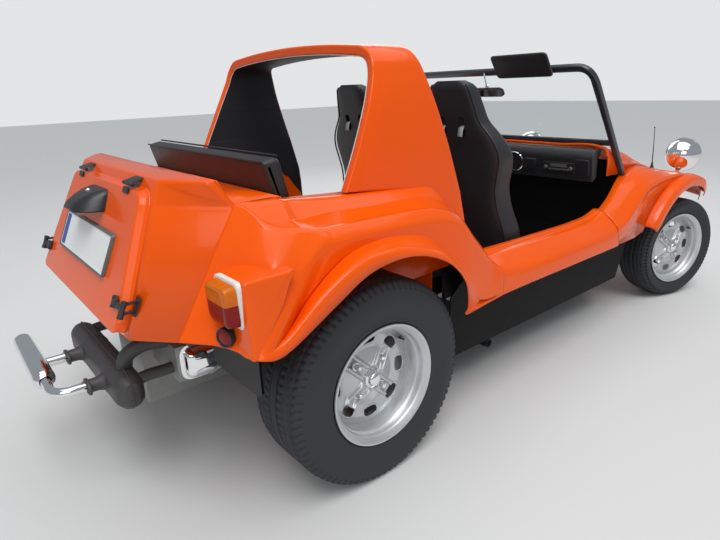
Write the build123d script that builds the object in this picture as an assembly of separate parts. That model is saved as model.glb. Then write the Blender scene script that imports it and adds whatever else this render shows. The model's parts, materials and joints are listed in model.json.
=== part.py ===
from build123d import *
import math
import os

# Dune buggy: a moulded open body with a hoop and a boxed tail, on a rear-engined floor pan.
# Millimetres. X points forward, Y to the left, Z up, the floor is Z = 0.
# Lengths along X are measured from the rear axle, and save() moves each piece to the part's frame,
# whose origin is under the middle of the whole car.

# Driving dimensions of the chassis
WHEELBASE = 2440
REAR_OVERHANG = 885
FRONT_OVERHANG = 445
REAR_AXLE_X = -(WHEELBASE + FRONT_OVERHANG - REAR_OVERHANG) / 2
PAN_Z = 205
PAN_WALL = 6
PAN_HALF_WIDTH = 600
PAN_REAR_X = 400
PAN_FRONT_X = WHEELBASE - 380
PAN_CORNER_X = PAN_FRONT_X - 160
TOE_X = PAN_FRONT_X - 60
TUNNEL_HALF_WIDTH = 75
TUNNEL_HEIGHT = 130

# Wheels: rim sizes from lip to lip, tyre sizes over the rubber
RIM_RADIUS = 209
BEAD_RADIUS = 192
REAR_TYRE_RADIUS = 355
REAR_TYRE_WIDTH = 250
REAR_RIM_WIDTH = 240
REAR_LIP_Y = 769
REAR_DISC_INSET = 92
SPRING_ARM_Y = 480
FRONT_TYRE_RADIUS = 295
FRONT_TYRE_WIDTH = 198
FRONT_RIM_WIDTH = 170
FRONT_DISC_INSET = 62
KINGPIN_Y = 560
KINGPIN_RADIUS = 11
BEAM_X = WHEELBASE - 105
BEAM_RISE = 62
ARM_Y = 432
LIP_FROM_KINGPIN = 170
PARKED_STEER = -16
RUNNING_GAP = 0.3
SLOT_COUNT = 8
NUT_COUNT = 4
NUT_CIRCLE = 130

# Fastening points
TOW_EYE_RADIUS = 15
TOW_EYE_WALL = 12
TOW_EYE_REACH = 92
JACK_RADIUS = 13
JACK_LENGTH = 110
JACK_X = 760

# Body shell
SHELL = 5
LEDGE_IN_Y = 540
LEDGE_Y = 600
STEP_Y = 640
CREASE_Y = 720
SIDE_Y = 745
SILL_BOTTOM_Z = 500
TAIL_BOTTOM_Z = 650
REAR_LIP_HALF_WIDTH = 840
REAR_ARCH = (0, 390, 407)
FRONT_LIP_HALF_WIDTH = 765
FRONT_ARCH = (2360, 200, 480)
FRONT_SIDE_Y = 712
WELL_HALF_WIDTH = 500
WELL_FLOOR_Z = 560
SILL_INNER_Y = 606

# Seats
SEAT_HALF_WIDTH = 255
SEAT_CLEARANCE = 15
SEAT_Y = PAN_HALF_WIDTH - SEAT_HALF_WIDTH - SEAT_CLEARANCE

# Hoop
HOOP_WALL = 38
HOOP_TOP_Z = 1432
HOOP_CORNER = 120

# Tail box and its lid
BOX_TOP_Z = 1045
LID_TILT = math.atan2(158.7, 355.2)
LID_FACE = (-545.8, 1015.2)
LID_TOP_Z = 1012
LID_BOTTOM_Z = 662
LID_TOP_HALF_WIDTH = 350
LID_BOTTOM_HALF_WIDTH = 445
LID_DEPTH = 24
LID_BEVEL = 22
LID_SEAT_GAP = 1.0
HINGE = (-541, 1029)
HINGE_Y = 250
HINGE_WIDTH = 58
PIN_RADIUS = 4
LATCH_Y = 470
LATCH_Z = 735

# Windscreen
SCREEN_FOOT = (1842, 785)
SCREEN_RAKE = math.atan(0.73)
SCREEN_HALF_WIDTH = 612
SCREEN_TOP_Z = 1338
SCREEN_TUBE = 30
SCREEN_DEPTH = 26
GLASS_WALL = 5
GLASS_LOW = 232

# Steering
COLUMN_TILT = 25
WHEEL_HUB = (1262, SEAT_Y, 872)
STEERING_RADIUS = 178
PEDAL_Y = (230, 320, 420)

parts = {}


def save(name, *solids):
    """Keep the solids of one piece, moved from the rear axle to the part's own origin."""
    group = list(solids)
    placed = [Pos(REAR_AXLE_X, 0, 0) * s for s in group]
    parts[name] = placed[0] if len(placed) == 1 else Compound(children=placed)


def mirrored(shape):
    """The same shape on the right-hand side."""
    return mirror(shape, about=Plane.XZ)


def both_sides(name, shape):
    """Save a left and a right copy as two pieces."""
    save(name + "_left", shape)
    save(name + "_right", mirrored(shape))


def offset_line(points, wall):
    """An open outline moved wall mm to its right-hand side, with mitred corners."""
    moved = []
    last = len(points) - 1
    for i, (a, b) in enumerate(points):
        sides = []
        for j in (i - 1, i):
            if 0 <= j < last:
                da = points[j + 1][0] - points[j][0]
                db = points[j + 1][1] - points[j][1]
                size = math.hypot(da, db)
                sides.append((db / size, -da / size))
        if len(sides) == 1:
            sides = sides * 2
        mitre = 1 + sides[0][0] * sides[1][0] + sides[0][1] * sides[1][1]
        moved.append((a + wall * (sides[0][0] + sides[1][0]) / mitre,
                      b + wall * (sides[0][1] + sides[1][1]) / mitre))
    return moved


def ruled(stations):
    """A solid with straight sides through closed polygons of equal point counts."""
    wires = [Wire.make_polygon([Vector(*p) for p in points], close=True) for points in stations]
    return Solid.make_loft(wires, ruled=True)


def band(rows, wall=SHELL):
    """A shell through cross-sections: rows are (x, [(y, z), ...]) with the outside on the left."""
    stations = []
    for x, line in rows:
        closed = line + offset_line(line, wall)[::-1]
        stations.append([(x, y, z) for y, z in closed])
    return ruled(stations)


def plate_xz(points, y0, y1):
    """A flat outline in X and Z, carried from y0 to y1."""
    return ruled([[(x, y, z) for x, z in points] for y in (y0, y1)])


def plate_yz(points, x0, x1):
    """A flat outline in Y and Z, carried from x0 to x1."""
    return ruled([[(x, y, z) for y, z in points] for x in (x0, x1)])


def block(x0, x1, y0, y1, z0, z1):
    """A box between two corners."""
    return Pos((x0 + x1) / 2, (y0 + y1) / 2, (z0 + z1) / 2) * Box(x1 - x0, y1 - y0, z1 - z0)


def rod(start, end, radius):
    """A round bar between two points."""
    a = Vector(*start)
    b = Vector(*end)
    plane = Plane(origin=a, z_dir=(b - a))
    return extrude(plane * Circle(radius), amount=(b - a).length)


def turned(profile):
    """A solid turned about the Y axis from an outline of (radius, y)."""
    face = make_face(Polyline(*[(r, y, 0) for r, y in profile], close=True))
    return revolve(face, Axis.Y, 360)


def fuse(first, *others):
    """One solid from overlapping solids."""
    return first.fuse(*others)


def seated(piece, carrier):
    """The piece cut to sit on its carrier's surface, without what reached past that surface."""
    return max((piece - carrier).solids(), key=lambda solid: solid.volume)


def arch_path(centre, angles):
    """Points on a wheel arch with their outward directions: (x, z, out_x, out_z)."""
    cx, cz, radius = centre
    path = []
    for angle in angles:
        c = math.cos(math.radians(angle))
        s = math.sin(math.radians(angle))
        path.append((cx + radius * c, cz + radius * s, c, s))
    return path


def flare(path, profile, narrow=1, wall=SHELL):
    """The rolled lip of an arch: profile rows are (y, out), narrow is the share of reach left at each end."""
    root = profile[-1][0]
    closed = profile + offset_line(profile, -wall)[::-1]
    stations = []
    for i, (x, z, nx, nz) in enumerate(path):
        share = 1 if 0 < i < len(path) - 1 else narrow
        stations.append([(x + n * nx, root + (y - root) * share, z + n * nz) for y, n in closed])
    return ruled(stations)


# Rear quarter: columns are x, ledge z, step z, crease z
QUARTER = [
    (612, 668, 650, 612),
    (540, 765, 716, 684),
    (480, 836, 782, 750),
    (411, 902, 862, 826),
    (300, 931, 893, 876),
    (100, 951, 905, 890),
    (-100, 964, 915, 898),
    (-200, 970, 920, 910),
]
# Where the rear slope leaves the shoulder and where it ends: x for y = STEP_Y, and x per mm of y
SLOPE_TOP_X = -340
SLOPE_TURN = 0.9
SLOPE_FOOT = [(-600, 644.3), (-565, 664), (-500, 690), (-474, 745)]
POD_Y = (650, 764)
POD_TOP_X = -478
POD_LOW_X = -486


def quarter_section(ledge, step, crease, low):
    """The body side from the hoop's foot out over the ledge, snap strip, shoulder and side."""
    return [(LEDGE_IN_Y, ledge), (LEDGE_Y, ledge), (LEDGE_Y + 14, step + 4), (STEP_Y, step),
            (CREASE_Y, crease), (SIDE_Y, crease - 34), (SIDE_Y, low)]


def rear_fender():
    """The shell over a rear wheel with its flare, tail slope and lamp pod."""
    stations = []
    for x, ledge, step, crease in QUARTER:
        line = quarter_section(ledge, step, crease, SILL_BOTTOM_Z)
        closed = line + offset_line(line, SHELL)[::-1]
        stations.append([(x, y, z) for y, z in closed])
    shell = ruled(stations[::-1])
    # tail slope, from the shoulder down and back to the bottom edge
    ledge, step, crease = QUARTER[-1][1:]
    line = quarter_section(ledge, step, crease, TAIL_BOTTOM_Z)[2:6]
    closed = line + offset_line(line, SHELL)[::-1]
    top = [(QUARTER[-1][0], y, z) for y, z in closed]
    brow = [(SLOPE_TOP_X + SLOPE_TURN * (y - LEDGE_Y), y, z) for y, z in closed]
    plan = offset_line(SLOPE_FOOT, SHELL)[::-1]
    foot = [(x, y, TAIL_BOTTOM_Z) for x, y in SLOPE_FOOT + plan]
    tail = ruled([top, brow, foot])
    top_z = crease - 34
    brow_x = SLOPE_TOP_X + SLOPE_TURN * (SIDE_Y - LEDGE_Y)
    lap = 1.2
    side = plate_xz([(QUARTER[-1][0] + lap, top_z - lap), (brow_x + lap, top_z - lap),
                     (SLOPE_FOOT[-1][0] + 2 * lap, TAIL_BOTTOM_Z + lap / 2),
                     (QUARTER[-1][0] + lap, TAIL_BOTTOM_Z + lap / 2)], SIDE_Y - SHELL - 0.4, SIDE_Y - 0.3)
    y0, y1 = POD_Y
    pod = plate_xz([(-300, 874), (-395, 853), (POD_TOP_X, 848), (POD_LOW_X, 641), (-440, 641),
                    (-330, 800)], y0, y1)
    hollow = [(-280, 866), (-395, 848), (POD_TOP_X + SHELL, 843), (POD_LOW_X + SHELL, 600), (-300, 600)]
    pod = pod - plate_xz(hollow, y0 + SHELL, y1 - SHELL)
    lip = [(REAR_LIP_HALF_WIDTH, 0), (REAR_LIP_HALF_WIDTH, 26), (REAR_LIP_HALF_WIDTH - 14, 42),
           (785, 54), (SIDE_Y - 3, 60)]
    path = arch_path(REAR_ARCH, range(28, 139, 10))
    path = [(432, 512, 0.94, 0.34)] + path + [(-400, 632, -0.35, 0.93), (-470, 643, -0.1, 0.99)]
    lips = flare(path, lip, 0.45)
    cx, cz, radius = REAR_ARCH
    hole = Pos(cx, 700, cz) * Rot(90, 0, 0) * Cylinder(radius + 50, 260)
    hole = hole + block(-300, 330, 600, 830, 300, cz + 80)
    under_lip = plate_xz([(-290, 690), (-345, 694), (-419, 678), (-490, 692), (-490, 600), (-290, 600)],
                         738, 780)
    return fuse(shell - hole, side - hole - under_lip, tail - hole, lips, pod)


# Sill and front wing: columns are x, inner edge y, inner edge z, crease z, bottom z
SILL = [
    (612, 642, 645, 600, 500),
    (740, 642, 645, 578, 500),
    (1460, 642, 645, 576, 500),
    (1545, 640, 690, 580, 497),
]


def sill_section(inner_y, inner_z, crease_z, bottom_z):
    """A door sill: inner leg, top with its snap strip, outer face and bottom return."""
    return [(SILL_INNER_Y, inner_z - 90), (SILL_INNER_Y, inner_z - 4), (inner_y, inner_z),
            (inner_y + 6, inner_z - 12), (inner_y + 24, inner_z - 16),
            (755, crease_z), (760, bottom_z), (700, bottom_z - 8)]


def sill():
    """A sill from the hoop to the front wing."""
    return band([(x, sill_section(y, z, c, b)) for x, y, z, c, b in SILL[::-1]])


# Front wing: columns are x, inner y, inner z, top y, top z, crease y, crease z, low z
WING = [
    (1545, 640, 690, 690, 640, 750, 580, 497),
    (1640, 628, 746, 690, 690, 748, 606, 495),
    (1734, 612, 788, 685, 742, 742, 664, 492),
    (1850, 584, 798, 672, 790, 735, 722, 490),
    (1967, 575, 822, 660, 806, 730, 746, 488),
    (2140, 560, 800, 640, 790, 726, 756, 488),
    (2300, 545, 766, 630, 764, 724, 752, 488),
    (2480, 528, 724, 620, 728, 722, 718, 488),
    (2600, 500, 688, 600, 690, 720, 668, 488),
    (2700, 470, 638, 570, 632, 700, 600, 560),
    (2745, 450, 598, 560, 585, 680, 560, 540),
]


def wing_section(row):
    """A front wing from the hood's side over its top and crease and down its own side."""
    x, inner_y, inner_z, top_y, top_z, crease_y, crease_z, low = row
    side = min(FRONT_SIDE_Y, crease_y - 4)
    return [(inner_y, inner_z), (top_y, top_z), (crease_y, crease_z), (side, crease_z - 30),
            (side - 2, min(low, crease_z - 40))]


def front_wing():
    """A front wing with its wide flare."""
    shell = band([(row[0], wing_section(row)) for row in WING[::-1]])
    lip = [(FRONT_LIP_HALF_WIDTH, 0), (FRONT_LIP_HALF_WIDTH, 30), (FRONT_LIP_HALF_WIDTH - 12, 46),
           (735, 56), (FRONT_SIDE_Y - 3, 62)]
    lips = flare(arch_path(FRONT_ARCH, range(53, 144, 10)), lip)
    cx, cz, radius = FRONT_ARCH
    hole = Pos(cx, 700, cz) * Rot(90, 0, 0) * Cylinder(radius + 52, 140)
    return fuse(shell - hole, lips)


# Hood: columns are x, edge y, edge z, crown height, foot y, foot z
HOOD = [
    (1700, 576, 936, 12, 579, 800),
    (1850, 570, 905, 26, 581.7, 800),
    (1967, 540, 884, 28, 574.7, 822),
    (2140, 490, 838, 30, 559.7, 800),
    (2300, 445, 792, 32, 544.7, 766),
    (2480, 402, 742, 34, 527.7, 724),
    (2600, 382, 698, 34, 499.7, 688),
    (2700, 366, 655, 32, 469.7, 638),
    (2745, 360, 622, 30, 449.7, 598),
    (2800, 352, 572, 24, 400, 552),
    (2840, 340, 500, 14, 356, 492),
    (2845, 330, 440, 10, 338, 430),
]


def hood_section(y, z, crown, foot_y, foot_z):
    """The hood from one foot up its side, over a low crown and down again."""
    left = [(-foot_y, foot_z), (-y, z), (-y * 0.62, z + crown * 0.75)]
    return left + [(0, z + crown)] + [(-a, b) for a, b in left[::-1]]


def hood_nose():
    """The hood with the upright cowl edge behind the windscreen."""
    hood = band([(row[0], hood_section(*row[1:])) for row in HOOD])
    lip = plate_yz([(-574, 905), (-574, 935), (0, 947), (574, 935), (574, 905)], 1692, 1704)
    side = plate_yz([(548, 800), (548, 910), (574, 910), (576, 800)], 1692, 1704)
    return fuse(hood, lip, side, mirrored(side))


def build_front():
    wing = front_wing()
    both_sides("front_fender", wing)
    both_sides("sill", sill())
    save("hood_nose", hood_nose() - wing - mirrored(wing))


# Hoop: the outline seen from behind and the outline seen from the side
HOOP_ABOVE_Z = HOOP_TOP_Z + 18
HOOP_BACK = [(602, 640), (580, 820), (572, 945), (562, 1100), (546, 1240), (500, HOOP_TOP_Z - 30),
             (0, HOOP_TOP_Z)]
HOOP_REAR_EDGE = [(20, 955), (67, 1045), (120, 1156), (162, 1250), (190, 1320), (200, 1380),
                  (206, HOOP_ABOVE_Z)]
HOOP_FRONT_EDGE = [(404, HOOP_ABOVE_Z), (412, 1380), (432, 1318), (450, 1264), (490, 1150), (535, 1024),
                   (580, 880), (592, 800), (598, 728), (612, 672)]


def hoop_outline(inset):
    """The hoop seen from behind, moved inward by inset, with round shoulders."""
    left = [(y - inset, z - (inset if z > 1300 else 0)) for y, z in HOOP_BACK[:-1]]
    right = [(-y, z) for y, z in left[::-1]]
    crown = [(0, HOOP_TOP_Z - inset)]
    face = Face(Wire.make_polygon([Vector(0, y, z) for y, z in left + crown + right], close=True))
    corners = [v for v in face.vertices() if v.Z > 1300 and abs(v.Y) > 100]
    return face.fillet_2d(HOOP_CORNER - inset, corners)


def roll_hoop():
    """The wide hoop behind the seats, standing on the ledges."""
    ring = extrude(hoop_outline(0) - hoop_outline(HOOP_WALL), amount=700, dir=(1, 0, 0))
    base = [(x, ledge + RUNNING_GAP) for x, ledge, step, crease in QUARTER if x <= 612]
    inside = [p for p in base if p[0] > HOOP_REAR_EDGE[0][0]]
    start = (HOOP_REAR_EDGE[0][0], 951 + (100 - HOOP_REAR_EDGE[0][0]) * 0.065 + RUNNING_GAP)
    outline = [start] + HOOP_REAR_EDGE[1:] + HOOP_FRONT_EDGE[:-1] + inside
    return ring & plate_xz(outline, -700, 700)


# Tail box in plan, left half from the rear edge forward: height, then three corners of x and y
BOX_RINGS = [
    (TAIL_BOTTOM_Z, (-677, 495), (-604, 639.7), (-380, 639.7)),
    (980, (-529, 403), (-386, 600), (-380, 600)),
    (BOX_TOP_Z, (-500, 385), (-424, 548), (-402, 548)),
]
DECK_Z = 968
DECK_FRONT_X = -204


def box_ring(row, inset):
    """A closed plan outline of the tail box, inset by the wall at the sides and rear."""
    z = row[0]
    (x0, y0), (x1, y1), (x2, y2) = row[1:]
    left = [(x0 + inset, y0 - inset * 0.7), (x1 + inset * 0.5, y1 - inset), (x2 + inset, y2 - inset)]
    return [(x, y, z) for x, y in left] + [(x, -y, z) for x, y in left[::-1]]


def lid_point(depth, z):
    """X of the lid's face plane at height z, moved forward by depth."""
    x0, z0 = LID_FACE
    return x0 + (z - z0) * math.tan(LID_TILT) + depth / math.cos(LID_TILT)


def tail_box():
    """The boxed tail over the engine with the deck in front of it."""
    outer = ruled([box_ring(row, 0) for row in BOX_RINGS])
    low, mid, top = [box_ring(row, SHELL) for row in BOX_RINGS]
    inner = ruled([[(x, y, z - 1) for x, y, z in low], mid, [(x, y, z - SHELL) for x, y, z in top]])
    front = block(-390, -300, -545, 545, TAIL_BOTTOM_Z - 2, DECK_Z)
    hole_low = LID_BOTTOM_HALF_WIDTH - 30
    hole_high = LID_TOP_HALF_WIDTH - 34
    hole = plate_yz([(-hole_low, 690), (hole_low, 690), (hole_high, 985), (-hole_high, 985)], -720, -470)
    half = LEDGE_IN_Y - RUNNING_GAP
    top = DECK_Z + SHELL
    deck = plate_xz([(-405, BOX_TOP_Z - 3), (-400, BOX_TOP_Z - 3), (-366, top), (DECK_FRONT_X, top),
                     (DECK_FRONT_X, DECK_Z), (-370, DECK_Z), (-405, BOX_TOP_Z - 14)], -half, half)
    return fuse(outer - inner - front - hole, deck)


def lid_ring(depth, grow):
    """Four corners of the lid at a depth behind its face, grown all round."""
    low = (LID_BOTTOM_HALF_WIDTH + grow, LID_BOTTOM_Z - grow * 0.4)
    high = (LID_TOP_HALF_WIDTH + grow, LID_TOP_Z + grow * 0.3)
    corners = [(-low[0], low[1]), low, high, (-high[0], high[1])]
    return [(lid_point(depth, z), y, z) for y, z in corners]


def engine_lid():
    """A shallow tray over the tail opening, with hinge straps along its top."""
    tray = ruled([lid_ring(0, 0), lid_ring(LID_DEPTH, LID_BEVEL)])
    hollow = ruled([lid_ring(SHELL, -2), lid_ring(LID_DEPTH + 1, LID_BEVEL - SHELL)])
    solids = [tray - hollow]
    hx, hz = HINGE
    for side in (-1, 1):
        y = side * HINGE_Y
        barrel = Pos(hx, y, hz) * Rot(90, 0, 0) * Cylinder(9, HINGE_WIDTH)
        leaf = plate_xz([(hx - 9, hz), (hx - 4, hz), (lid_point(0.5, 995), 995), (lid_point(-3, 995), 995)],
                        y - HINGE_WIDTH / 2, y + HINGE_WIDTH / 2)
        bore = Pos(hx, y, hz) * Rot(90, 0, 0) * Cylinder(PIN_RADIUS + RUNNING_GAP, HINGE_WIDTH + 2)
        solids.append((barrel + leaf) - bore)
    return fuse(*solids)


def lid_fixings(carrier):
    """Hinge pins and brackets on top of the tail box and the slotted keepers beside the lid."""
    hx, hz = HINGE
    solids = []
    for side in (-1, 1):
        y = side * HINGE_Y
        pin = Pos(hx, y, hz) * Rot(90, 0, 0) * Cylinder(PIN_RADIUS, HINGE_WIDTH + 16)
        for end in (-1, 1):
            edge = y + end * (HINGE_WIDTH / 2 + 5)
            ear = plate_xz([(hx - 8, hz - 8), (hx - 8, hz + 8), (hx + 20, BOX_TOP_Z + 6),
                            (-478, BOX_TOP_Z + 6),
                            (-478, BOX_TOP_Z), (-506, hz - 8)], edge - 3, edge + 3)
            pin = pin + ear
        foot = block(-498, -470, y - HINGE_WIDTH / 2 - 8, y + HINGE_WIDTH / 2 + 8, BOX_TOP_Z, BOX_TOP_Z + 5)
        solids.append(seated(pin + foot, carrier))
        low = side * LATCH_Y
        keeper = plate_xz([(lid_point(-12, LATCH_Z + h), LATCH_Z + h) for h in (-20, 20)]
                          + [(lid_point(45, LATCH_Z + h), LATCH_Z + h) for h in (20, -20)], low - 4, low + 4)
        slot = plate_xz([(lid_point(-14, LATCH_Z + h), LATCH_Z + h) for h in (-10, 10)]
                        + [(lid_point(8, LATCH_Z + h), LATCH_Z + h) for h in (10, -10)], low - 5, low + 5)
        solids.append(seated(keeper - slot, carrier))
    return solids


def number_plate():
    """A bare plate in its frame on the lid."""
    mid_z = 828
    half_y = 264
    half_h = 60

    def ring(depth, shrink):
        y = half_y - shrink
        low = mid_z - half_h + shrink
        high = mid_z + half_h - shrink
        return [(lid_point(depth, c), b, c) for b, c in ((-y, low), (y, low), (y, high), (-y, high))]

    frame = ruled([ring(-13, 0), ring(-RUNNING_GAP, 0)])
    dish = ruled([ring(-14, 8), ring(-9, 8)])
    return frame - dish


def plate_lamp():
    """The wedge-shaped lamp housing over the plate."""
    z_low = 925
    z_high = 985
    seat = [(-105, z_low), (105, z_low), (80, z_high), (-80, z_high)]
    nose = [(-70, z_low + 2), (70, z_low + 2), (48, z_low + 26), (-48, z_low + 26)]
    wide = [(lid_point(-RUNNING_GAP, z), y, z) for y, z in seat]
    end = [(lid_point(-95, z_low), y, z) for y, z in nose]
    return ruled([wide, end])


def lid_latches():
    """Rubber T-handles that pull out of their keepers with the lid."""
    solids = []
    for side in (-1, 1):
        def slab(near, far, low, high, y0, y1):
            rows = ((near, low), (near, high), (far, high), (far, low))
            return plate_xz([(lid_point(d, LATCH_Z + h), LATCH_Z + h) for d, h in rows], side * y0, side * y1)
        base = slab(-12, -RUNNING_GAP, -14, 14, LATCH_Y - 72, LATCH_Y - 44)
        strap = slab(-10, -3, -7, 7, LATCH_Y - 50, LATCH_Y + 12)
        handle = slab(-22, 8, -22, 22, LATCH_Y + 8, LATCH_Y + 16)
        solids.append(fuse(base, strap, handle))
    return solids


# Wheels, built for the left side about their own axle with the lip plane at y = 0
def wheel_rim(width, disc_inset):
    """A deep steel rim with a slotted disc, raised ribs, nuts and a round cap."""
    r = RIM_RADIUS
    b = BEAD_RADIUS
    wall = 6
    barrel = turned([(r, 0), (r, -7), (b, -14), (b, 14 - width), (r, 7 - width), (r, -width),
                     (b - wall, -width), (b - wall, -62), (b - 14, -40), (r - wall, 0)])
    d = -disc_inset
    disc = turned([(0, d + 14), (56, d + 14), (104, d - 4), (146, d + 7), (b - wall + 2, d - 8),
                   (b - wall + 2, d - 14), (146, d), (104, d - 11), (56, d - 4), (0, d - 4)])
    for i in range(SLOT_COUNT):
        turn = Rot(0, (i + 0.5) * 360 / SLOT_COUNT, 0)
        disc = disc - turn * block(124, 146, d - 30, d + 30, -24, 24)
    pieces = [barrel, turned([(0, d + 13), (0, d + 44), (26, d + 42), (36, d + 13)])]
    for i in range(NUT_COUNT):
        turn = Rot(0, (i + 0.5) * 360 / NUT_COUNT, 0)
        for edge in (-20, 20):
            pieces.append(turn * Rot(0, 45, 0) * Pos(0, 0, edge) * block(44, 122, d - 4, d + 13, -3, 3))
        nut = (Pos(NUT_CIRCLE / 2, d + 8, 0) * Rot(90, 0, 0)
               * extrude(RegularPolygon(10, 6), amount=12, both=True))
        pieces.append(turn * nut)
    drum = turned([(20, d - 3), (114, d - 13), (114, d - 40), (20, d - 40)])
    return fuse(disc, *pieces, drum)


def tyre(radius, width, rim_width):
    """A closed tyre about the same axle, lip plane of its rim at y = 0."""
    mid = -rim_width / 2
    bead = rim_width / 2 - 14 - RUNNING_GAP
    half = width / 2
    side = [(BEAD_RADIUS + RUNNING_GAP, bead), (RIM_RADIUS + 1, bead + 5.8),
            (RIM_RADIUS + (radius - RIM_RADIUS) * 0.5, half), (radius - 9, half - 14), (radius, half - 40)]
    outline = [(r, mid + y) for r, y in side] + [(r, mid - y) for r, y in side[::-1]]
    return turned(outline)


def kingpin_place(side):
    """Where a steered wheel's own frame stands at rest, for side 1 left and -1 right."""
    return Pos(WHEELBASE, side * KINGPIN_Y, 0) * Rot(0, 0, PARKED_STEER)


def front_piece(shape, side):
    """A piece of a front wheel set, from its own frame about the kingpin to its place."""
    local = shape if side > 0 else mirrored(shape)
    return kingpin_place(side) * local


def knuckle():
    """A kingpin sleeve with its spindle, drum and steering arm, about the kingpin."""
    z = FRONT_TYRE_RADIUS
    sleeve = Pos(0, 0, z) * Cylinder(21, 111)
    stub = Pos(0, 34, z) * Rot(90, 0, 0) * Cylinder(18, 40)
    backing = Pos(0, 56, z) * Rot(90, 0, 0) * Cylinder(118, 6)
    arm = block(-110, -12, -26, -12, z - 52, z - 40)
    hub = LIP_FROM_KINGPIN - FRONT_DISC_INSET - 4 - RUNNING_GAP
    spindle = rod((0, 50, z), (0, hub, z), 13)
    bore = Pos(0, 0, z) * Cylinder(KINGPIN_RADIUS + RUNNING_GAP, 160)
    return fuse(sleeve, stub, backing, spindle, arm) - bore


def build_wheels():
    rear_rim = wheel_rim(REAR_RIM_WIDTH, REAR_DISC_INSET)
    rear_tyre = tyre(REAR_TYRE_RADIUS, REAR_TYRE_WIDTH, REAR_RIM_WIDTH)
    front_rim = wheel_rim(FRONT_RIM_WIDTH, FRONT_DISC_INSET)
    front_tyre = tyre(FRONT_TYRE_RADIUS, FRONT_TYRE_WIDTH, FRONT_RIM_WIDTH)
    for name, shape in (("rim_rear", rear_rim), ("tyre_rear", rear_tyre)):
        both_sides(name, Pos(0, REAR_LIP_Y, REAR_TYRE_RADIUS) * shape)
    for side, word in ((1, "left"), (-1, "right")):
        for name, shape in (("rim_front", front_rim), ("tyre_front", front_tyre)):
            save(f"{name}_{word}", front_piece(Pos(0, LIP_FROM_KINGPIN, FRONT_TYRE_RADIUS) * shape, side))
        save(f"knuckle_{word}", front_piece(knuckle(), side))


def front_beam():
    """Two cross tubes, end towers, trailing arms and the kingpins that they carry."""
    z = FRONT_TYRE_RADIUS
    pieces = [rod((BEAM_X, -420, z + dz), (BEAM_X, 420, z + dz), 30) for dz in (-BEAM_RISE, BEAM_RISE)]
    for side in (-1, 1):
        tower_y = side * 360
        arm_y = side * ARM_Y
        inner, outer = sorted((side * (ARM_Y - 7), side * KINGPIN_Y))
        pieces.append(block(BEAM_X - 18, BEAM_X + 18, tower_y - 12, tower_y + 12, z - 95, z + 190))
        for end in (-1, 1):
            arm_z = z + end * BEAM_RISE
            eye_z = arm_z + end * 8
            pieces.append(block(BEAM_X - 22, WHEELBASE + 16, arm_y - 12, arm_y + 12, arm_z - 18, arm_z + 18))
            pieces.append(block(WHEELBASE - 16, WHEELBASE + 16, inner, outer, eye_z - 14, eye_z + 14))
            pieces.append(Pos(WHEELBASE, side * KINGPIN_Y, eye_z) * Cylinder(20, 28))
        pieces.append(Pos(WHEELBASE, side * KINGPIN_Y, z) * Cylinder(KINGPIN_RADIUS, 150))
    return fuse(*pieces, tow_eye())


def rear_axle():
    """The gearbox with a swing axle tube to each rear drum."""
    z = REAR_TYRE_RADIUS
    pieces = [block(-90, 330, -110, 110, z - 95, z + 95)]
    pieces.append(rod((330, 0, z), (420, 0, z), 60))
    for side in (-1, 1):
        pieces.append(rod((0, side * 90, z), (0, side * 600, z), 38))
        pieces.append(rod((0, side * 585, z), (0, side * 600, z), 115))
        hub = REAR_LIP_Y - REAR_DISC_INSET - 4 - RUNNING_GAP
        pieces.append(rod((0, side * 590, z), (0, side * hub, z), 15))
        outline = [(-55, z - 50), (50, z - 50), (440, z - 40), (440, z + 40), (50, z + 50), (-55, z + 50)]
        pieces.append(plate_xz(outline, side * SPRING_ARM_Y - 6, side * SPRING_ARM_Y + 6))
    pieces.append(rod((424, -500, z), (424, 500, z), 55))
    pieces.append(block(402, 470, -60, 60, PAN_Z + PAN_WALL + RUNNING_GAP, z - 30))
    return fuse(*pieces)


def engine_block():
    """The engine as one plain block with its cylinder banks and fan shroud."""
    return fuse(block(-560, -90.3, -130, 130, 235, 545), block(-520, -200, -360, 360, 400, 520),
                block(-430, -270, -300, 300, 510, 900))


def rocker_covers():
    """Chrome covers along the outer ends of the cylinder banks."""
    one = block(-505, -215, 360.3, 402, 405, 515)
    return [one, mirrored(one)]


def tow_eye():
    """An eye for a tow rope, welded to the lower tube of the front beam."""
    z = FRONT_TYRE_RADIUS - BEAM_RISE
    eye_x = BEAM_X + TOW_EYE_REACH
    rim = TOW_EYE_RADIUS + 11
    half = TOW_EYE_WALL / 2
    tongue = block(BEAM_X + 24, eye_x, -rim, rim, z - half, z + half)
    end = Pos(eye_x, 0, z) * Cylinder(rim, TOW_EYE_WALL)
    hole = Pos(eye_x, 0, z) * Cylinder(TOW_EYE_RADIUS, 2 * TOW_EYE_WALL)
    return fuse(tongue, end) - hole


def jack_sockets():
    """A round tube under each edge of the pan that takes the peg of the jack."""
    z = PAN_Z - 20.3
    tube = Pos(JACK_X, PAN_HALF_WIDTH - JACK_LENGTH / 2, z) * Rot(90, 0, 0) * Cylinder(20, JACK_LENGTH)
    bore = (Pos(JACK_X, PAN_HALF_WIDTH - JACK_LENGTH / 2, z) * Rot(90, 0, 0)
            * Cylinder(JACK_RADIUS, JACK_LENGTH + 2))
    one = tube - bore
    return [one, mirrored(one)]


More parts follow.
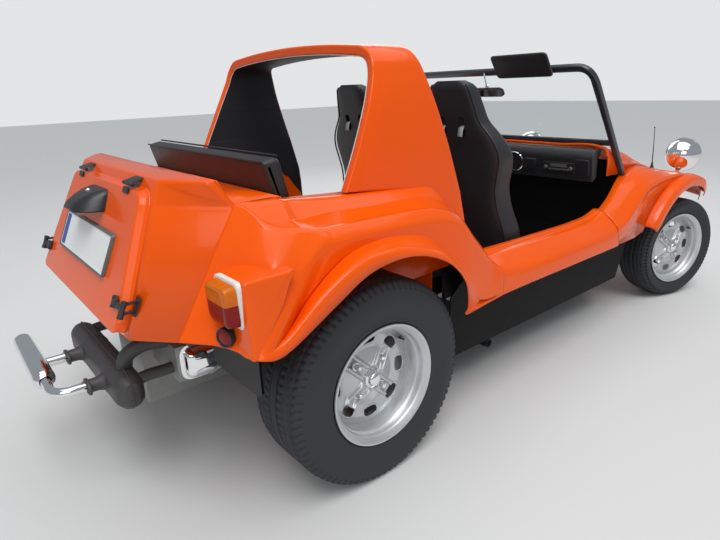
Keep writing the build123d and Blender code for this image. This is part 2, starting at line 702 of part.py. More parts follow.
def floor_pan():
    """The flat floor with its centre tunnel and the head that carries the front beam."""
    half = PAN_HALF_WIDTH
    z = PAN_Z
    plan = [(PAN_REAR_X, -half + 90), (PAN_REAR_X + 90, -half), (PAN_CORNER_X, -half),
            (PAN_FRONT_X, -half + 190),
            (PAN_FRONT_X, half - 190), (PAN_CORNER_X, half), (PAN_REAR_X + 90, half), (PAN_REAR_X, half - 90)]
    floor = ruled([[(x, y, h) for x, y in plan] for h in (z, z + PAN_WALL)])
    top = z + TUNNEL_HEIGHT
    w = TUNNEL_HALF_WIDTH
    tunnel = plate_yz([(-w, z + 1), (-w, top - 30), (-w + 30, top), (w - 30, top), (w, top - 30), (w, z + 1)],
                      PAN_REAR_X + 98, PAN_FRONT_X)
    core = plate_yz([(-w + 4, z - 1), (-w + 4, top - 32), (-w + 32, top - 4), (w - 32, top - 4),
                     (w - 4, top - 32),
                     (w - 4, z - 1)], PAN_REAR_X + 102, PAN_FRONT_X - 4)
    wide = [(-120, z), (120, z), (120, z + 150), (-120, z + 150)]
    narrow = [(-90, z + 20), (90, z + 20), (90, z + 160), (-90, z + 160)]
    head = ruled([[(PAN_FRONT_X - 10, y, h) for y, h in wide], [(BEAM_X - 30.3, y, h) for y, h in narrow]])
    return fuse(floor, tunnel, head) - core


def cabin_sides():
    """The dark inner sides of the cabin, standing on the pan under the sills."""
    foot = PAN_Z + PAN_WALL + RUNNING_GAP
    outline = [(PAN_REAR_X + 100, foot), (PAN_CORNER_X, foot), (TOE_X - 10, 420), (PAN_CORNER_X, 600),
               (PAN_CORNER_X - 355, 600), (PAN_CORNER_X - 400, 560), (612, 560), (PAN_REAR_X + 100, 470)]
    return plate_xz(outline, PAN_HALF_WIDTH - SHELL, PAN_HALF_WIDTH)


def footwell(carrier):
    """The toe board and bulkhead in front of the feet."""
    z = PAN_Z + PAN_WALL + RUNNING_GAP
    line = [(TOE_X - 110, z), (TOE_X, 420), (TOE_X - 10, 840)]
    half = PAN_HALF_WIDTH - 8
    board = plate_xz(line + offset_line(line, SHELL)[::-1], -half, half)
    outline = plate_yz([(-half, 150), (half, 150), (half, 640), (515, 850), (-515, 850), (-half, 640)],
                       TOE_X - 150, TOE_X + 50)
    return seated(board & outline, carrier)


def rear_well():
    """The tub for the rear passengers between the wheels."""
    w = WELL_HALF_WIDTH
    z = WELL_FLOOR_Z
    line = [(-200, DECK_Z - 5), (-108, z), (PAN_REAR_X + 100, z), (PAN_REAR_X + 96, PAN_Z + PAN_WALL + 2)]
    spine = plate_xz(line + offset_line(line, SHELL)[::-1], -w, w)
    wall = plate_xz([(-200, DECK_Z - 5), (-108, z), (600, z), (612, 655), (540, 758), (480, 829),
                     (411, 895), (300, 924),
                     (100, 944), (-100, 957)], w - SHELL, w)
    rows = [(x, ledge - SHELL - 1) for x, ledge, step, crease in QUARTER[::-1]]
    rim = band([(x, [(w - SHELL, z), (LEDGE_IN_Y + 20, z)]) for x, z in rows], 4)
    return fuse(spine, wall, mirrored(wall), rim, mirrored(rim))


def screen_plane():
    """The plane of the windscreen, leaning back from its feet, with its height and half width."""
    up = (SCREEN_TOP_Z - SCREEN_FOOT[1]) / math.cos(SCREEN_RAKE)
    normal = (math.cos(SCREEN_RAKE), 0, math.sin(SCREEN_RAKE))
    plane = Plane(origin=(SCREEN_FOOT[0], 0, SCREEN_FOOT[1]), x_dir=(0, 1, 0), z_dir=normal)
    return plane, up, SCREEN_HALF_WIDTH


def screen_outline(inset, low, corner):
    """The frame outline in its own plane: across and up the slope."""
    plane, up, half = screen_plane()
    y = half - inset
    face = make_face(Polyline((-y, low), (y, low), (y - 14, up - inset), (-y + 14, up - inset), close=True))
    tops = face.vertices().sort_by(Axis.Y)[-2:]
    return fillet(tops, corner)


def build_screen():
    """A tube frame with round top corners, open below its bottom rail, and the glass in it."""
    plane, up, half = screen_plane()
    low = GLASS_LOW
    outer = extrude(screen_outline(0, 0, 85), amount=SCREEN_DEPTH / 2, both=True)
    light = extrude(screen_outline(SCREEN_TUBE, low, 58), amount=SCREEN_DEPTH, both=True)
    under = Pos(0, low / 2 - 40) * Rectangle(2 * (half - SCREEN_TUBE), low + 48)
    below = extrude(under, amount=SCREEN_DEPTH, both=True)
    wing = front_wing()
    frame = plane * (outer - light - below) - wing - mirrored(wing)
    save("windscreen_frame", frame)
    pane = screen_outline(SCREEN_TUBE + RUNNING_GAP, low + RUNNING_GAP, 58)
    glass = extrude(pane, amount=GLASS_WALL / 2, both=True)
    save("windscreen_glass", plane * glass)


def dash_panel():
    """The black padded dash across the cabin."""
    outline = [(1612, 900), (1640, 934), (1691.7, 934), (1691.7, 905), (1668, 905), (1668, 790), (1634, 770)]
    return plate_xz(outline, -547, 547)


def bucket_seat():
    """A high-backed bucket seat: rows are height, x of the back face, half width and depth."""
    rows = [(430, 905, 215, 150), (700, 862, 235, 150), (980, 822, 238, 140), (1090, 800, 190, 110),
            (1190, 776, 118, 90), (1270, 756, 100, 80), (1288, 762, 84, 62)]
    back = ruled([[(x, -w, z), (x, w, z), (x + d * 0.5, w, z), (x + d, w - 40, z), (x + d * 0.6, w - 60, z),
                   (x + d * 0.6, -w + 60, z), (x + d, -w + 40, z), (x + d * 0.5, -w, z)]
                  for z, x, w, d in rows])
    half = SEAT_HALF_WIDTH
    section = [(5 - half, 395), (half - 5, 395), (half, 560), (half - 50, 565), (half - 75, 490),
               (75 - half, 490), (50 - half, 565), (-half, 560)]
    cushion = plate_yz(section, 930, 1400)
    slots = [block(700, 980, s - 17, s + 17, 1060, 1140) for s in (-52, 52)]
    frame = block(950, 1350, -190, 190, PAN_Z + PAN_WALL + RUNNING_GAP, 400)
    shape = fuse(back, cushion, frame)
    for slot in slots:
        shape = shape - slot
    return shape


def rear_bench():
    """The rear cushion and the pad that leans on the bulkhead."""
    w = WELL_HALF_WIDTH - SHELL - 5
    cushion = block(-60, 480, -w, w, WELL_FLOOR_Z + RUNNING_GAP, WELL_FLOOR_Z + 110)
    pad = plate_xz([(-96, WELL_FLOOR_Z + 20), (-36, WELL_FLOOR_Z + 35), (-160, 1088), (-222, 1074)], -w, w)
    return [fuse(cushion, pad)]


def exhaust_muffler():
    """The black cross-wise silencer with its header pipes."""
    can = Pos(-660, 0, 400) * Rot(90, 0, 0) * Cylinder(68, 770)
    pipes = []
    for side in (-1, 1):
        pipes.append(rod((-660, side * 300, 430), (-520.3, side * 300, 430), 20))
        pipes.append(rod((-660, side * 166, 400), (-753, side * 166, 415), 20))
    return fuse(can, *pipes)


def chrome_silencer():
    """The chrome tail silencer on its two tubes."""
    can = Pos(-850, 0, 450) * Rot(90, 0, 0) * Cylinder(35, 500)
    pipes = [rod((-753.5, side * 166, 415), (-845, side * 190, 448), 17) for side in (-1, 1)]
    return fuse(can, *pipes) - exhaust_muffler()


def steering():
    """The column under the dash and the wheel on its end."""
    cx, cy, cz = WHEEL_HUB
    tilt = math.radians(COLUMN_TILT)
    ax = Vector(-math.cos(tilt), 0, math.sin(tilt))
    hub = Vector(cx, cy, cz)
    reach = (TOE_X - 13 - cx) / math.cos(tilt)
    column = rod(tuple(hub - ax * 41.8), tuple(hub - ax * reach), 20)
    hanger = block(1638, 1660, cy - 14, cy + 14, 700, 772)
    column = seated(fuse(column, hanger), dash_panel())
    frame = Plane(origin=hub, x_dir=(0, 1, 0), z_dir=ax)
    grip = 13
    middle = STEERING_RADIUS - grip
    section = [(middle + grip * math.cos(math.radians(a)), grip * math.sin(math.radians(a)))
               for a in range(0, 360, 60)]
    ring = frame * Rot(90, 0, 0) * turned(section)
    pieces = [ring]
    for turn in (90, 210, 330):
        pieces.append(frame * Rot(0, 0, turn) * block(20, STEERING_RADIUS - 14, -16, 16, -12, -6))
    pieces.append(frame * Pos(0, 0, -16) * Cylinder(38, 36))
    pieces.append(frame * Pos(0, 0, -35.5) * Cylinder(12, 12))
    return column, fuse(*pieces)


def controls():
    """Gear lever, hand brake and three pedals."""
    z = PAN_Z + TUNNEL_HEIGHT + RUNNING_GAP
    stick = rod((1280, 0, z + 3), (1235, 0, z + 260), 8)
    boot = rod((1280, 0, z), (1280, 0, z + 12), 35)
    knob = Pos(1233, 0, z + 270) * Rot(90, 0, 0) * turned([(0, -26), (16, -22), (24, 0), (16, 20), (0, 24)])
    lever = fuse(stick, boot, knob)
    brake = fuse(rod((1080, 0, z), (1080, 0, z + 30), 22), rod((1080, 0, z + 15), (880, 0, z + 90), 11))
    solids = [lever, brake]
    low = PAN_Z + PAN_WALL + RUNNING_GAP
    x = TOE_X - 150
    for y in PEDAL_Y:
        lever = plate_xz([(x, low), (x + 16, low), (x - 14, low + 190), (x - 30, low + 190)], y - 6, y + 6)
        tread = plate_xz([(x - 28, low + 150), (x - 12, low + 155), (x - 34, low + 235), (x - 48, low + 230)],
                         y - 26, y + 26)
        solids.append(fuse(lever, tread))
    return solids


def tail_lamps(carrier):
    """Two-colour lamps on the pods with a round reflector under each."""
    turns = [math.radians(t) for t in range(0, 360, 45)]
    ovals = [(POD_TOP_X + 2, 54, 72), (POD_TOP_X - 12, 54, 72), (POD_TOP_X - 48, 44, 60)]
    one = ruled([[(x, 700 + w * math.cos(a), 772 + h * math.sin(a)) for a in turns] for x, w, h in ovals])
    dot = rod((POD_LOW_X + 4, 702, 671), (POD_LOW_X - 12, 702, 671), 27)
    one = seated(one, carrier)
    dot = seated(dot, carrier)
    return [one, dot, mirrored(one), mirrored(dot)]


def headlamps(carrier):
    """Chrome buckets on short stalks, glass ahead."""
    bowl = revolve(make_face(Polyline((-70, 0), (-62, 42), (-20, 86), (45, 102), (60, 98), (68, 0),
                                      close=True)), Axis.X, 360)
    one = Pos(2690, 550, 803) * bowl
    stalk = rod((2690, 550, 620), (2690, 550, 710), 16)
    lamp = seated(fuse(one, stalk), carrier)
    return [lamp, mirrored(lamp)]


def mud_flaps():
    """Ribbed rubber flaps behind the rear wheels."""
    top = TAIL_BOTTOM_Z - RUNNING_GAP
    one = plate_xz([(-428, 420), (-420, 420), (-420, top), (-428, top)], 440, 738)
    return [one, mirrored(one)]


def screen_fittings(carrier):
    """Mirror, sun visor and wiper on the windscreen."""
    plane, up, half = screen_plane()
    mirror_head = plane * Pos(10, up - 118, -34) * Box(200, 56, 16)
    stem = plane * Pos(10, up - 62, -22) * Box(10, 90, 18)
    visor = plane * Pos(-235, up + 24, -SCREEN_DEPTH / 2 - 7 - RUNNING_GAP) * Box(320, 130, 14)
    wiper = plane * Pos(430, 330, 14) * Rot(0, 0, 38) * Box(14, 300, 8)
    return [piece - carrier for piece in (fuse(mirror_head, stem), visor, wiper)]


def antenna(carrier):
    """A whip on the right wing."""
    whip = fuse(rod((2240, -575, 772), (2240, -575, 800), 14),
                rod((2240, -575, 795), (2205, -577, 1010), 2.5))
    return seated(whip, carrier)


def build_all():
    fender = rear_fender()
    wing = front_wing()
    both_sides("rear_fender", fender)
    build_front()
    save("roll_hoop", roll_hoop())
    box = tail_box()
    save("tail_box", box)
    save("engine_lid", engine_lid())
    save("lid_fixings", *lid_fixings(box))
    save("number_plate", number_plate())
    save("plate_lamp", plate_lamp())
    save("lid_latches", *lid_latches())
    build_wheels()
    save("front_beam", front_beam())
    save("rear_axle", rear_axle())
    save("engine_block", engine_block())
    save("rocker_covers", *rocker_covers())
    pan = floor_pan()
    save("floor_pan", pan)
    both_sides("cabin_side", cabin_sides())
    save("footwell", footwell(pan))
    save("jack_sockets", *jack_sockets())
    save("rear_well", rear_well())
    build_screen()
    save("dash_panel", dash_panel())
    seat = bucket_seat()
    save("seat_left", Pos(0, SEAT_Y, 0) * seat)
    save("seat_right", Pos(0, -SEAT_Y, 0) * seat)
    save("rear_bench", *rear_bench())
    save("exhaust_muffler", exhaust_muffler())
    save("chrome_silencer", chrome_silencer())
    column, wheel = steering()
    save("steering_column", column)
    save("steering_wheel", wheel)
    save("controls", *controls())
    save("tail_lamps", *tail_lamps(fender))
    save("headlamps", *headlamps(wing))
    save("mud_flaps", *mud_flaps())
    save("screen_fittings", *screen_fittings(Pos(-REAR_AXLE_X, 0, 0) * parts["windscreen_frame"]))
    save("antenna", antenna(mirrored(wing)))


build_all()
os.makedirs("parts", exist_ok=True)
for name, solid in parts.items():
    export_step(solid, f"parts/{name}.step")
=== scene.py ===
# %% [markdown]
# # An open two-plus-two dune buggy with an orange glassfibre body
#
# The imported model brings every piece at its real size. This lesson dresses it: the body panels,
# wheels, seats and lamps become smooth surfaces worked out with numpy, and every finish is a node
# material. The frame comes first, because each piece is placed from it.

# %% Load the frame
import json
import math

import bmesh
import bpy
import numpy as np
from mathutils import Matrix, Vector


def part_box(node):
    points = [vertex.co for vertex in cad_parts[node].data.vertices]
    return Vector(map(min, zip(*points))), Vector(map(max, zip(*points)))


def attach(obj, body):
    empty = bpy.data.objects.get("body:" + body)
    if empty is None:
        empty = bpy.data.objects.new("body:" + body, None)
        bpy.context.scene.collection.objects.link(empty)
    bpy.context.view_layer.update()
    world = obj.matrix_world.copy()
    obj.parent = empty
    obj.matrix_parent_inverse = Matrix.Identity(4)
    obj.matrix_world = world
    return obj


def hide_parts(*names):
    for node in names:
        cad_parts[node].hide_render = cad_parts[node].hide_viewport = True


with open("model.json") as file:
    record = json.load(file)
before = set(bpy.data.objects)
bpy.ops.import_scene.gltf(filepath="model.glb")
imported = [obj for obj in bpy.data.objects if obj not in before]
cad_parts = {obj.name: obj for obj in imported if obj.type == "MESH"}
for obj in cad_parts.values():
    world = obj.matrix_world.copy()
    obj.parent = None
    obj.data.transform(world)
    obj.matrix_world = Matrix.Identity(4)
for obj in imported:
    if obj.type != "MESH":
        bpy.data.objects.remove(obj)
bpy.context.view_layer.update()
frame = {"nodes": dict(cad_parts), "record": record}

nodes = frame["nodes"]
low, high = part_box("tyre_rear_left")
AXLE_X = (low.x + high.x) / 2
REAR_WHEEL_Z = (low.z + high.z) / 2
print("rear axle at x", round(AXLE_X, 4), "and z", round(REAR_WHEEL_Z, 4))

# %% [markdown]
# ## The view
#
# The photograph was taken by a standing person behind the right rear wheel. A camera can be placed
# by eye, or solved from points whose real places are known. It was solved here, because then every
# panel can be compared with the photograph line by line. Its place is measured from the rear axle.

# %% Camera
CAMERA_PLACE = (-1.02438, -1.91541, 1.27693)
VIEW_RIGHT = (0.76874, -0.63866, -0.03388)
VIEW_UP = (0.23056, 0.22733, 0.94613)
FOCAL_PIXELS = 539.86
IMAGE_WIDTH = 720

camera_data = bpy.data.cameras.new("camera")
camera_data.sensor_width = 36
camera_data.lens = FOCAL_PIXELS / IMAGE_WIDTH * camera_data.sensor_width
camera = bpy.data.objects.new("camera", camera_data)
bpy.context.scene.collection.objects.link(camera)
right = Vector(VIEW_RIGHT)
up = Vector(VIEW_UP)
turn = Matrix((right, up, right.cross(up))).transposed()
camera.matrix_world = Matrix.Translation(Vector(CAMERA_PLACE) + Vector((AXLE_X, 0, 0))) @ turn.to_4x4()
bpy.context.scene.camera = camera
print("lens", round(camera_data.lens, 2), "mm")

# %% [markdown]
# ## Light
#
# Glossy gelcoat shows what it mirrors, so the light is a studio with large soft sources: a bright
# ceiling, a big side panel, a weaker one behind and a wide faint sun. One huge even dome would be
# simpler, but then the creases of the body would hardly read.

# %% Lamps, world and floor
scene = bpy.context.scene
scene.view_settings.view_transform = "Standard"

LAMPS = [
    # name, place from the rear axle, size, power, aim
    ("ceiling", (0.9, -0.6, 5.2), (7.0, 5.0), 110, (0.9, 0.0, 0.4)),
    ("side_panel", (-3.6, -4.2, 3.4), (4.5, 2.6), 60, (0.3, 0.0, 0.5)),
    ("far_panel", (4.6, 3.4, 3.2), (4.0, 2.4), 40, (1.0, 0.0, 0.5)),
]
for name, place, size, power, aim in LAMPS:
    lamp = bpy.data.lights.new(name, "AREA")
    lamp.shape = "RECTANGLE"
    lamp.size, lamp.size_y = size
    lamp.energy = power
    holder = bpy.data.objects.new(name, lamp)
    scene.collection.objects.link(holder)
    start = Vector(place) + Vector((AXLE_X, 0, 0))
    holder.location = start
    holder.rotation_mode = "QUATERNION"
    holder.rotation_quaternion = (Vector(aim) + Vector((AXLE_X, 0, 0)) - start).to_track_quat("-Z", "Y")

SUN_STRENGTH, SUN_WIDTH, SUN_TILT = 1.5, 35, (24, -14)
sky = bpy.data.lights.new("open_sky", "SUN")
sky.energy = SUN_STRENGTH
sky.angle = math.radians(SUN_WIDTH)
sky_holder = bpy.data.objects.new("open_sky", sky)
sky_holder.rotation_euler = (math.radians(SUN_TILT[0]), math.radians(SUN_TILT[1]), 0)
scene.collection.objects.link(sky_holder)

world = bpy.data.worlds.new("studio")
world.use_nodes = True
scene.world = world
WORLD_COLOUR, WORLD_STRENGTH = (0.80, 0.86, 0.93, 1), 0.35
world.node_tree.nodes["Background"].inputs["Color"].default_value = WORLD_COLOUR
world.node_tree.nodes["Background"].inputs["Strength"].default_value = WORLD_STRENGTH
print(len(LAMPS), "soft lamps and a sun")

# %% [markdown]
# The floor is a plain pale slab. The camera, and rays through the panes, see a pale backdrop colour,
# which Light Path picks out, while the light that falls on the body stays as the lamps and the world
# give it.

# %% Pale surroundings
BACKDROP, BACKDROP_STRENGTH = (0.86, 0.87, 0.88, 1), 0.9
tree = world.node_tree
seen = tree.nodes.new("ShaderNodeLightPath")
pale = tree.nodes.new("ShaderNodeBackground")
pale.inputs["Color"].default_value = BACKDROP
pale.inputs["Strength"].default_value = BACKDROP_STRENGTH
either = tree.nodes.new("ShaderNodeMath")
either.operation = "MAXIMUM"
pick = tree.nodes.new("ShaderNodeMixShader")
tree.links.new(seen.outputs["Is Camera Ray"], either.inputs[0])
tree.links.new(seen.outputs["Is Transmission Ray"], either.inputs[1])
tree.links.new(either.outputs[0], pick.inputs["Fac"])
tree.links.new(tree.nodes["Background"].outputs[0], pick.inputs[1])
tree.links.new(pale.outputs[0], pick.inputs[2])
tree.links.new(pick.outputs[0], tree.nodes["World Output"].inputs["Surface"])

FLOOR_REACH, FLOOR_COLOUR, FLOOR_ROUGHNESS = 30, (0.70, 0.70, 0.69, 1), 0.75
floor_mesh = bpy.data.meshes.new("floor")
floor_mesh.from_pydata([(-FLOOR_REACH, -FLOOR_REACH, 0), (FLOOR_REACH, -FLOOR_REACH, 0),
                        (FLOOR_REACH, FLOOR_REACH, 0), (-FLOOR_REACH, FLOOR_REACH, 0)], [], [(0, 1, 2, 3)])
floor = bpy.data.objects.new("floor", floor_mesh)
scene.collection.objects.link(floor)
floor_finish = bpy.data.materials.new("pale_floor")
floor_finish.use_nodes = True
floor_finish.node_tree.nodes["Principled BSDF"].inputs["Base Color"].default_value = FLOOR_COLOUR
floor_finish.node_tree.nodes["Principled BSDF"].inputs["Roughness"].default_value = FLOOR_ROUGHNESS
floor_mesh.materials.append(floor_finish)
print("floor reaches", FLOOR_REACH, "m each way")

# %% [markdown]
# ## Finishes
#
# Every finish starts as one Principled shader with fixed settings. Noise on Object coordinates then
# varies the colour between two close tones, the roughness a little, and gives a fine bump. One
# helper builds that, so a finish is a short line of numbers, and special ones add to it.

# %% Finish helper
COAT_ROUGHNESS, DRIFT_DETAIL = 0.04, 3.0


def finish(name, tone_a, tone_b, rough=(0.3, 0.4), metal=0.0, scale=40.0, bump=0.1, bump_scale=400.0,
           coat=0.0, depth=0.001):
    """Colour and roughness drift between two values with noise, and finer noise lifts the surface."""
    material = bpy.data.materials.new(name)
    material.use_nodes = True
    nt = material.node_tree
    shader = nt.nodes["Principled BSDF"]
    shader.inputs["Metallic"].default_value = metal
    shader.inputs["Coat Weight"].default_value = coat
    shader.inputs["Coat Roughness"].default_value = COAT_ROUGHNESS
    place = nt.nodes.new("ShaderNodeTexCoord")
    drift = nt.nodes.new("ShaderNodeTexNoise")
    drift.inputs["Scale"].default_value = scale
    drift.inputs["Detail"].default_value = DRIFT_DETAIL
    ramp = nt.nodes.new("ShaderNodeMix")
    ramp.data_type = "RGBA"
    ramp.inputs["A"].default_value = (*tone_a, 1)
    ramp.inputs["B"].default_value = (*tone_b, 1)
    spread = nt.nodes.new("ShaderNodeMapRange")
    spread.inputs["To Min"].default_value, spread.inputs["To Max"].default_value = rough
    grain = nt.nodes.new("ShaderNodeTexNoise")
    grain.inputs["Scale"].default_value = bump_scale
    lift = nt.nodes.new("ShaderNodeBump")
    lift.inputs["Strength"].default_value = bump
    lift.inputs["Distance"].default_value = depth
    link = nt.links.new
    link(place.outputs["Object"], drift.inputs["Vector"])
    link(place.outputs["Object"], grain.inputs["Vector"])
    link(drift.outputs["Fac"], ramp.inputs["Factor"])
    link(drift.outputs["Fac"], spread.inputs["Value"])
    link(ramp.outputs["Result"], shader.inputs["Base Color"])
    link(spread.outputs["Result"], shader.inputs["Roughness"])
    link(grain.outputs["Fac"], lift.inputs["Height"])
    link(lift.outputs["Normal"], shader.inputs["Normal"])
    return material


def specular(material, level):
    """Sets how strongly a finish without metal mirrors."""
    material.node_tree.nodes["Principled BSDF"].inputs["Specular IOR Level"].default_value = level


# %% [markdown]
# The body is orange gelcoat under a thin clear coat. The black parts differ more in gloss and grain
# than in tone: a dull lining in the hoop, grained vinyl, smooth trim, rough chassis paint. Two close
# tones for each keep them from looking like flat plastic.

# %% Body, trim and metal finishes
orange = finish("orange_gelcoat", (0.90, 0.108, 0.001), (0.82, 0.088, 0.001), rough=(0.16, 0.24), scale=3.0,
                bump=0.03, bump_scale=45, coat=0.22, depth=0.0005)
specular(orange, 0.22)
frame_paint = finish("screen_frame_paint", (0.02, 0.024, 0.032), (0.03, 0.034, 0.044), rough=(0.25, 0.33),
                     scale=20, bump=0.08, bump_scale=240, coat=0.5)
# name, two tones, roughness from and to, metal, scale of the drift, height and scale of the grain
PLAIN_FINISHES = [
    ("black_lining", (0.012, 0.013, 0.016), (0.020, 0.021, 0.026), (0.50, 0.62), 0, 8, 0.25, 260),
    ("black_vinyl", (0.016, 0.016, 0.018), (0.024, 0.023, 0.026), (0.38, 0.50), 0, 14, 0.35, 420),
    ("black_trim", (0.014, 0.014, 0.016), (0.022, 0.022, 0.025), (0.28, 0.40), 0, 30, 0.12, 300),
    ("rim_silver", (0.56, 0.57, 0.58), (0.64, 0.65, 0.66), (0.34, 0.44), 0.70, 60, 0.10, 900),
    ("tyre_rubber", (0.018, 0.020, 0.024), (0.028, 0.030, 0.034), (0.60, 0.74), 0, 18, 0.25, 500),
    ("soft_rubber", (0.020, 0.020, 0.022), (0.034, 0.034, 0.036), (0.45, 0.60), 0, 25, 0.2, 350),
    ("chassis_black", (0.020, 0.019, 0.018), (0.040, 0.036, 0.032), (0.50, 0.75), 0, 12, 0.4, 160),
    ("muffler_black", (0.045, 0.042, 0.044), (0.060, 0.055, 0.056), (0.45, 0.60), 0, 20, 0.2, 300),
    ("chrome", (0.84, 0.85, 0.86), (0.90, 0.90, 0.90), (0.03, 0.08), 1.0, 12, 0.03, 90),
    ("cast_grey", (0.30, 0.30, 0.29), (0.40, 0.40, 0.39), (0.45, 0.65), 0.6, 40, 0.5, 300),
    ("plate_white", (0.78, 0.79, 0.78), (0.83, 0.84, 0.83), (0.30, 0.40), 0, 20, 0.05, 300),
    ("gasket_white", (0.72, 0.71, 0.67), (0.80, 0.79, 0.75), (0.35, 0.45), 0, 30, 0.1, 300),
    # near black, darker than any paint: the underside's own black, deepened into painted shade
    ("painted_shade_black", (0.006, 0.006, 0.006), (0.012, 0.011, 0.010), (0.62, 0.80), 0, 12, 0.4, 160),
    ("plate_frame_grey", (0.10, 0.095, 0.09), (0.15, 0.14, 0.13), (0.35, 0.5), 0, 30, 0.1, 400),
    ("plate_blue", (0.01, 0.06, 0.32), (0.012, 0.07, 0.36), (0.28, 0.36), 0, 30, 0.1, 400),
    ("grey_carpet", (0.48, 0.48, 0.50), (0.58, 0.58, 0.60), (0.85, 0.95), 0, 60, 0.8, 500),
    ("belt_webbing", (0.30, 0.30, 0.31), (0.42, 0.42, 0.43), (0.55, 0.7), 0, 30, 0.6, 700),
]
(lining, vinyl, trim, silver, rubber, soft_rubber, chassis_black, muffler_black, chrome, cast, plate_white,
 gasket_white, painted_shade_black, frame_grey, plate_blue, carpet, webbing) = (finish(*row) for row in PLAIN_FINISHES)
# the painted-shade black mirrors little light, so it stays dark
specular(painted_shade_black, 0.25)
print(len(bpy.data.materials), "finishes")

# %% [markdown]
# The panes and the headlamps' covers let light through. Real glass has a refractive index near 1.5,
# but a thin pane that is modelled with both its faces looks truer with a lower one. The red and
# amber covers are dark behind their gloss, so they are glossy colours and not see-through.

# %% Clear and coloured covers
def clear(name, colour, rough, ior):
    """A see-through moulding or pane, with faint waves in its face."""
    material = finish(name, colour, colour, rough=(rough, rough + 0.03), scale=8, bump=0.05, bump_scale=60)
    shader = material.node_tree.nodes["Principled BSDF"]
    shader.inputs["Transmission Weight"].default_value = 1.0
    shader.inputs["IOR"].default_value = ior
    return material


glass = clear("clear_glass", (0.93, 0.96, 0.96), 0.0, 1.12)
lens_glass = clear("headlamp_glass", (0.90, 0.93, 0.93), 0.12, 1.20)
amber = finish("amber_lens", (0.52, 0.10, 0.002), (0.68, 0.17, 0.004), rough=(0.06, 0.10), scale=60, bump=0.2,
               bump_scale=140, depth=0.0008)
red = finish("red_lens", (0.16, 0.001, 0.002), (0.26, 0.003, 0.003), rough=(0.06, 0.10), scale=60, bump=0.2,
             bump_scale=140, depth=0.0008)
for tone in (amber, red):
    specular(tone, 0.30)
# the record's material slots and their finishes
FINISH_OF = {
    "hoop_paint": orange, "orange_gelcoat": orange, "black_trim": trim, "black_vinyl": vinyl,
    "rim_silver": silver, "tyre_rubber": rubber, "chassis_black": chassis_black, "chrome": chrome,
    "cast_grey": cast, "clear_glass": glass, "lamp_lens": red, "plate_white": plate_white,
    "rubber": soft_rubber,
}
print(len(bpy.data.materials), "finishes")

# %% [markdown]
# ## Surfaces from rows
#
# A moulded panel is a net of lines. Rows run along the car and columns cross them. Each row is a
# smooth line through a few measured points. A column is a chain of straight stretches from row to
# row, and each inner corner of it is rounded. The whole net is worked out as one array.

# %% Net helpers
def smooth_line(points, count):
    """A line through all points by chord length: cubic pieces whose slopes are averaged chords."""
    p = np.asarray(points, float)
    gaps = np.linalg.norm(np.diff(p, axis=0), axis=1)
    return along(p, np.concatenate([[0], np.cumsum(gaps)]), count)


def along(points, knots, count):
    """Cubic Hermite pieces through points at the given knots, read at count even steps."""
    p = np.asarray(points, float)
    k = np.asarray(knots, float)
    slope = np.diff(p, axis=0) / np.diff(k)[:, None]
    share = (np.diff(k)[:-1] / (np.diff(k)[:-1] + np.diff(k)[1:]))[:, None]
    inner = slope[:-1] * (1 - share) + slope[1:] * share
    tangent = np.vstack([slope[:1], inner, slope[-1:]])
    t = np.linspace(k[0], k[-1], count)
    i = np.clip(np.searchsorted(k, t, side="right") - 1, 0, len(k) - 2)
    h = (k[i + 1] - k[i])[:, None]
    s = ((t - k[i])[:, None]) / h
    return ((2 * s**3 - 3 * s**2 + 1) * p[i] + (s**3 - 2 * s**2 + s) * h * tangent[i]
            + (3 * s**2 - 2 * s**3) * p[i + 1] + (s**3 - s**2) * h * tangent[i + 1])


def rounded_net(rows, radii, steps=5):
    """Rows joined into columns, each inner corner replaced by a quadratic arc of about that radius."""
    rows = [np.asarray(row, float) for row in rows]
    net = [rows[0]]
    for k in range(1, len(rows) - 1):
        radius = radii[k - 1]
        before = rows[k - 1] - rows[k]
        after = rows[k + 1] - rows[k]
        reach_a = np.linalg.norm(before, axis=1, keepdims=True)
        reach_b = np.linalg.norm(after, axis=1, keepdims=True)
        cut = np.minimum(radius, 0.45 * np.minimum(reach_a, reach_b))
        start = rows[k] + before / np.maximum(reach_a, 1e-9) * cut
        end = rows[k] + after / np.maximum(reach_b, 1e-9) * cut
        for t in np.linspace(0, 1, steps):
            net.append((1 - t) ** 2 * start + 2 * t * (1 - t) * rows[k] + t**2 * end)
    net.append(rows[-1])
    return np.array(net)


# %% [markdown]
# ## From a net to a piece
#
# `piece` turns one or more nets into a mesh, rides it on its body, gives it its finish and hides the
# imported nodes that it stands for. Points are measured from the rear axle, so the place is added
# here once.

# %% Piece helpers
def net_faces(rows, columns, wrap_rows=False, wrap_columns=False, first=0):
    """Four-sided faces between neighbouring points of a grid, as an index array."""
    r = np.arange(rows if wrap_rows else rows - 1)[:, None]
    c = np.arange(columns if wrap_columns else columns - 1)[None, :]
    r2 = (r + 1) % rows
    c2 = (c + 1) % columns
    quads = np.stack([r * columns + c, r * columns + c2, r2 * columns + c2, r2 * columns + c], -1)
    return quads.reshape(-1, 4) + first


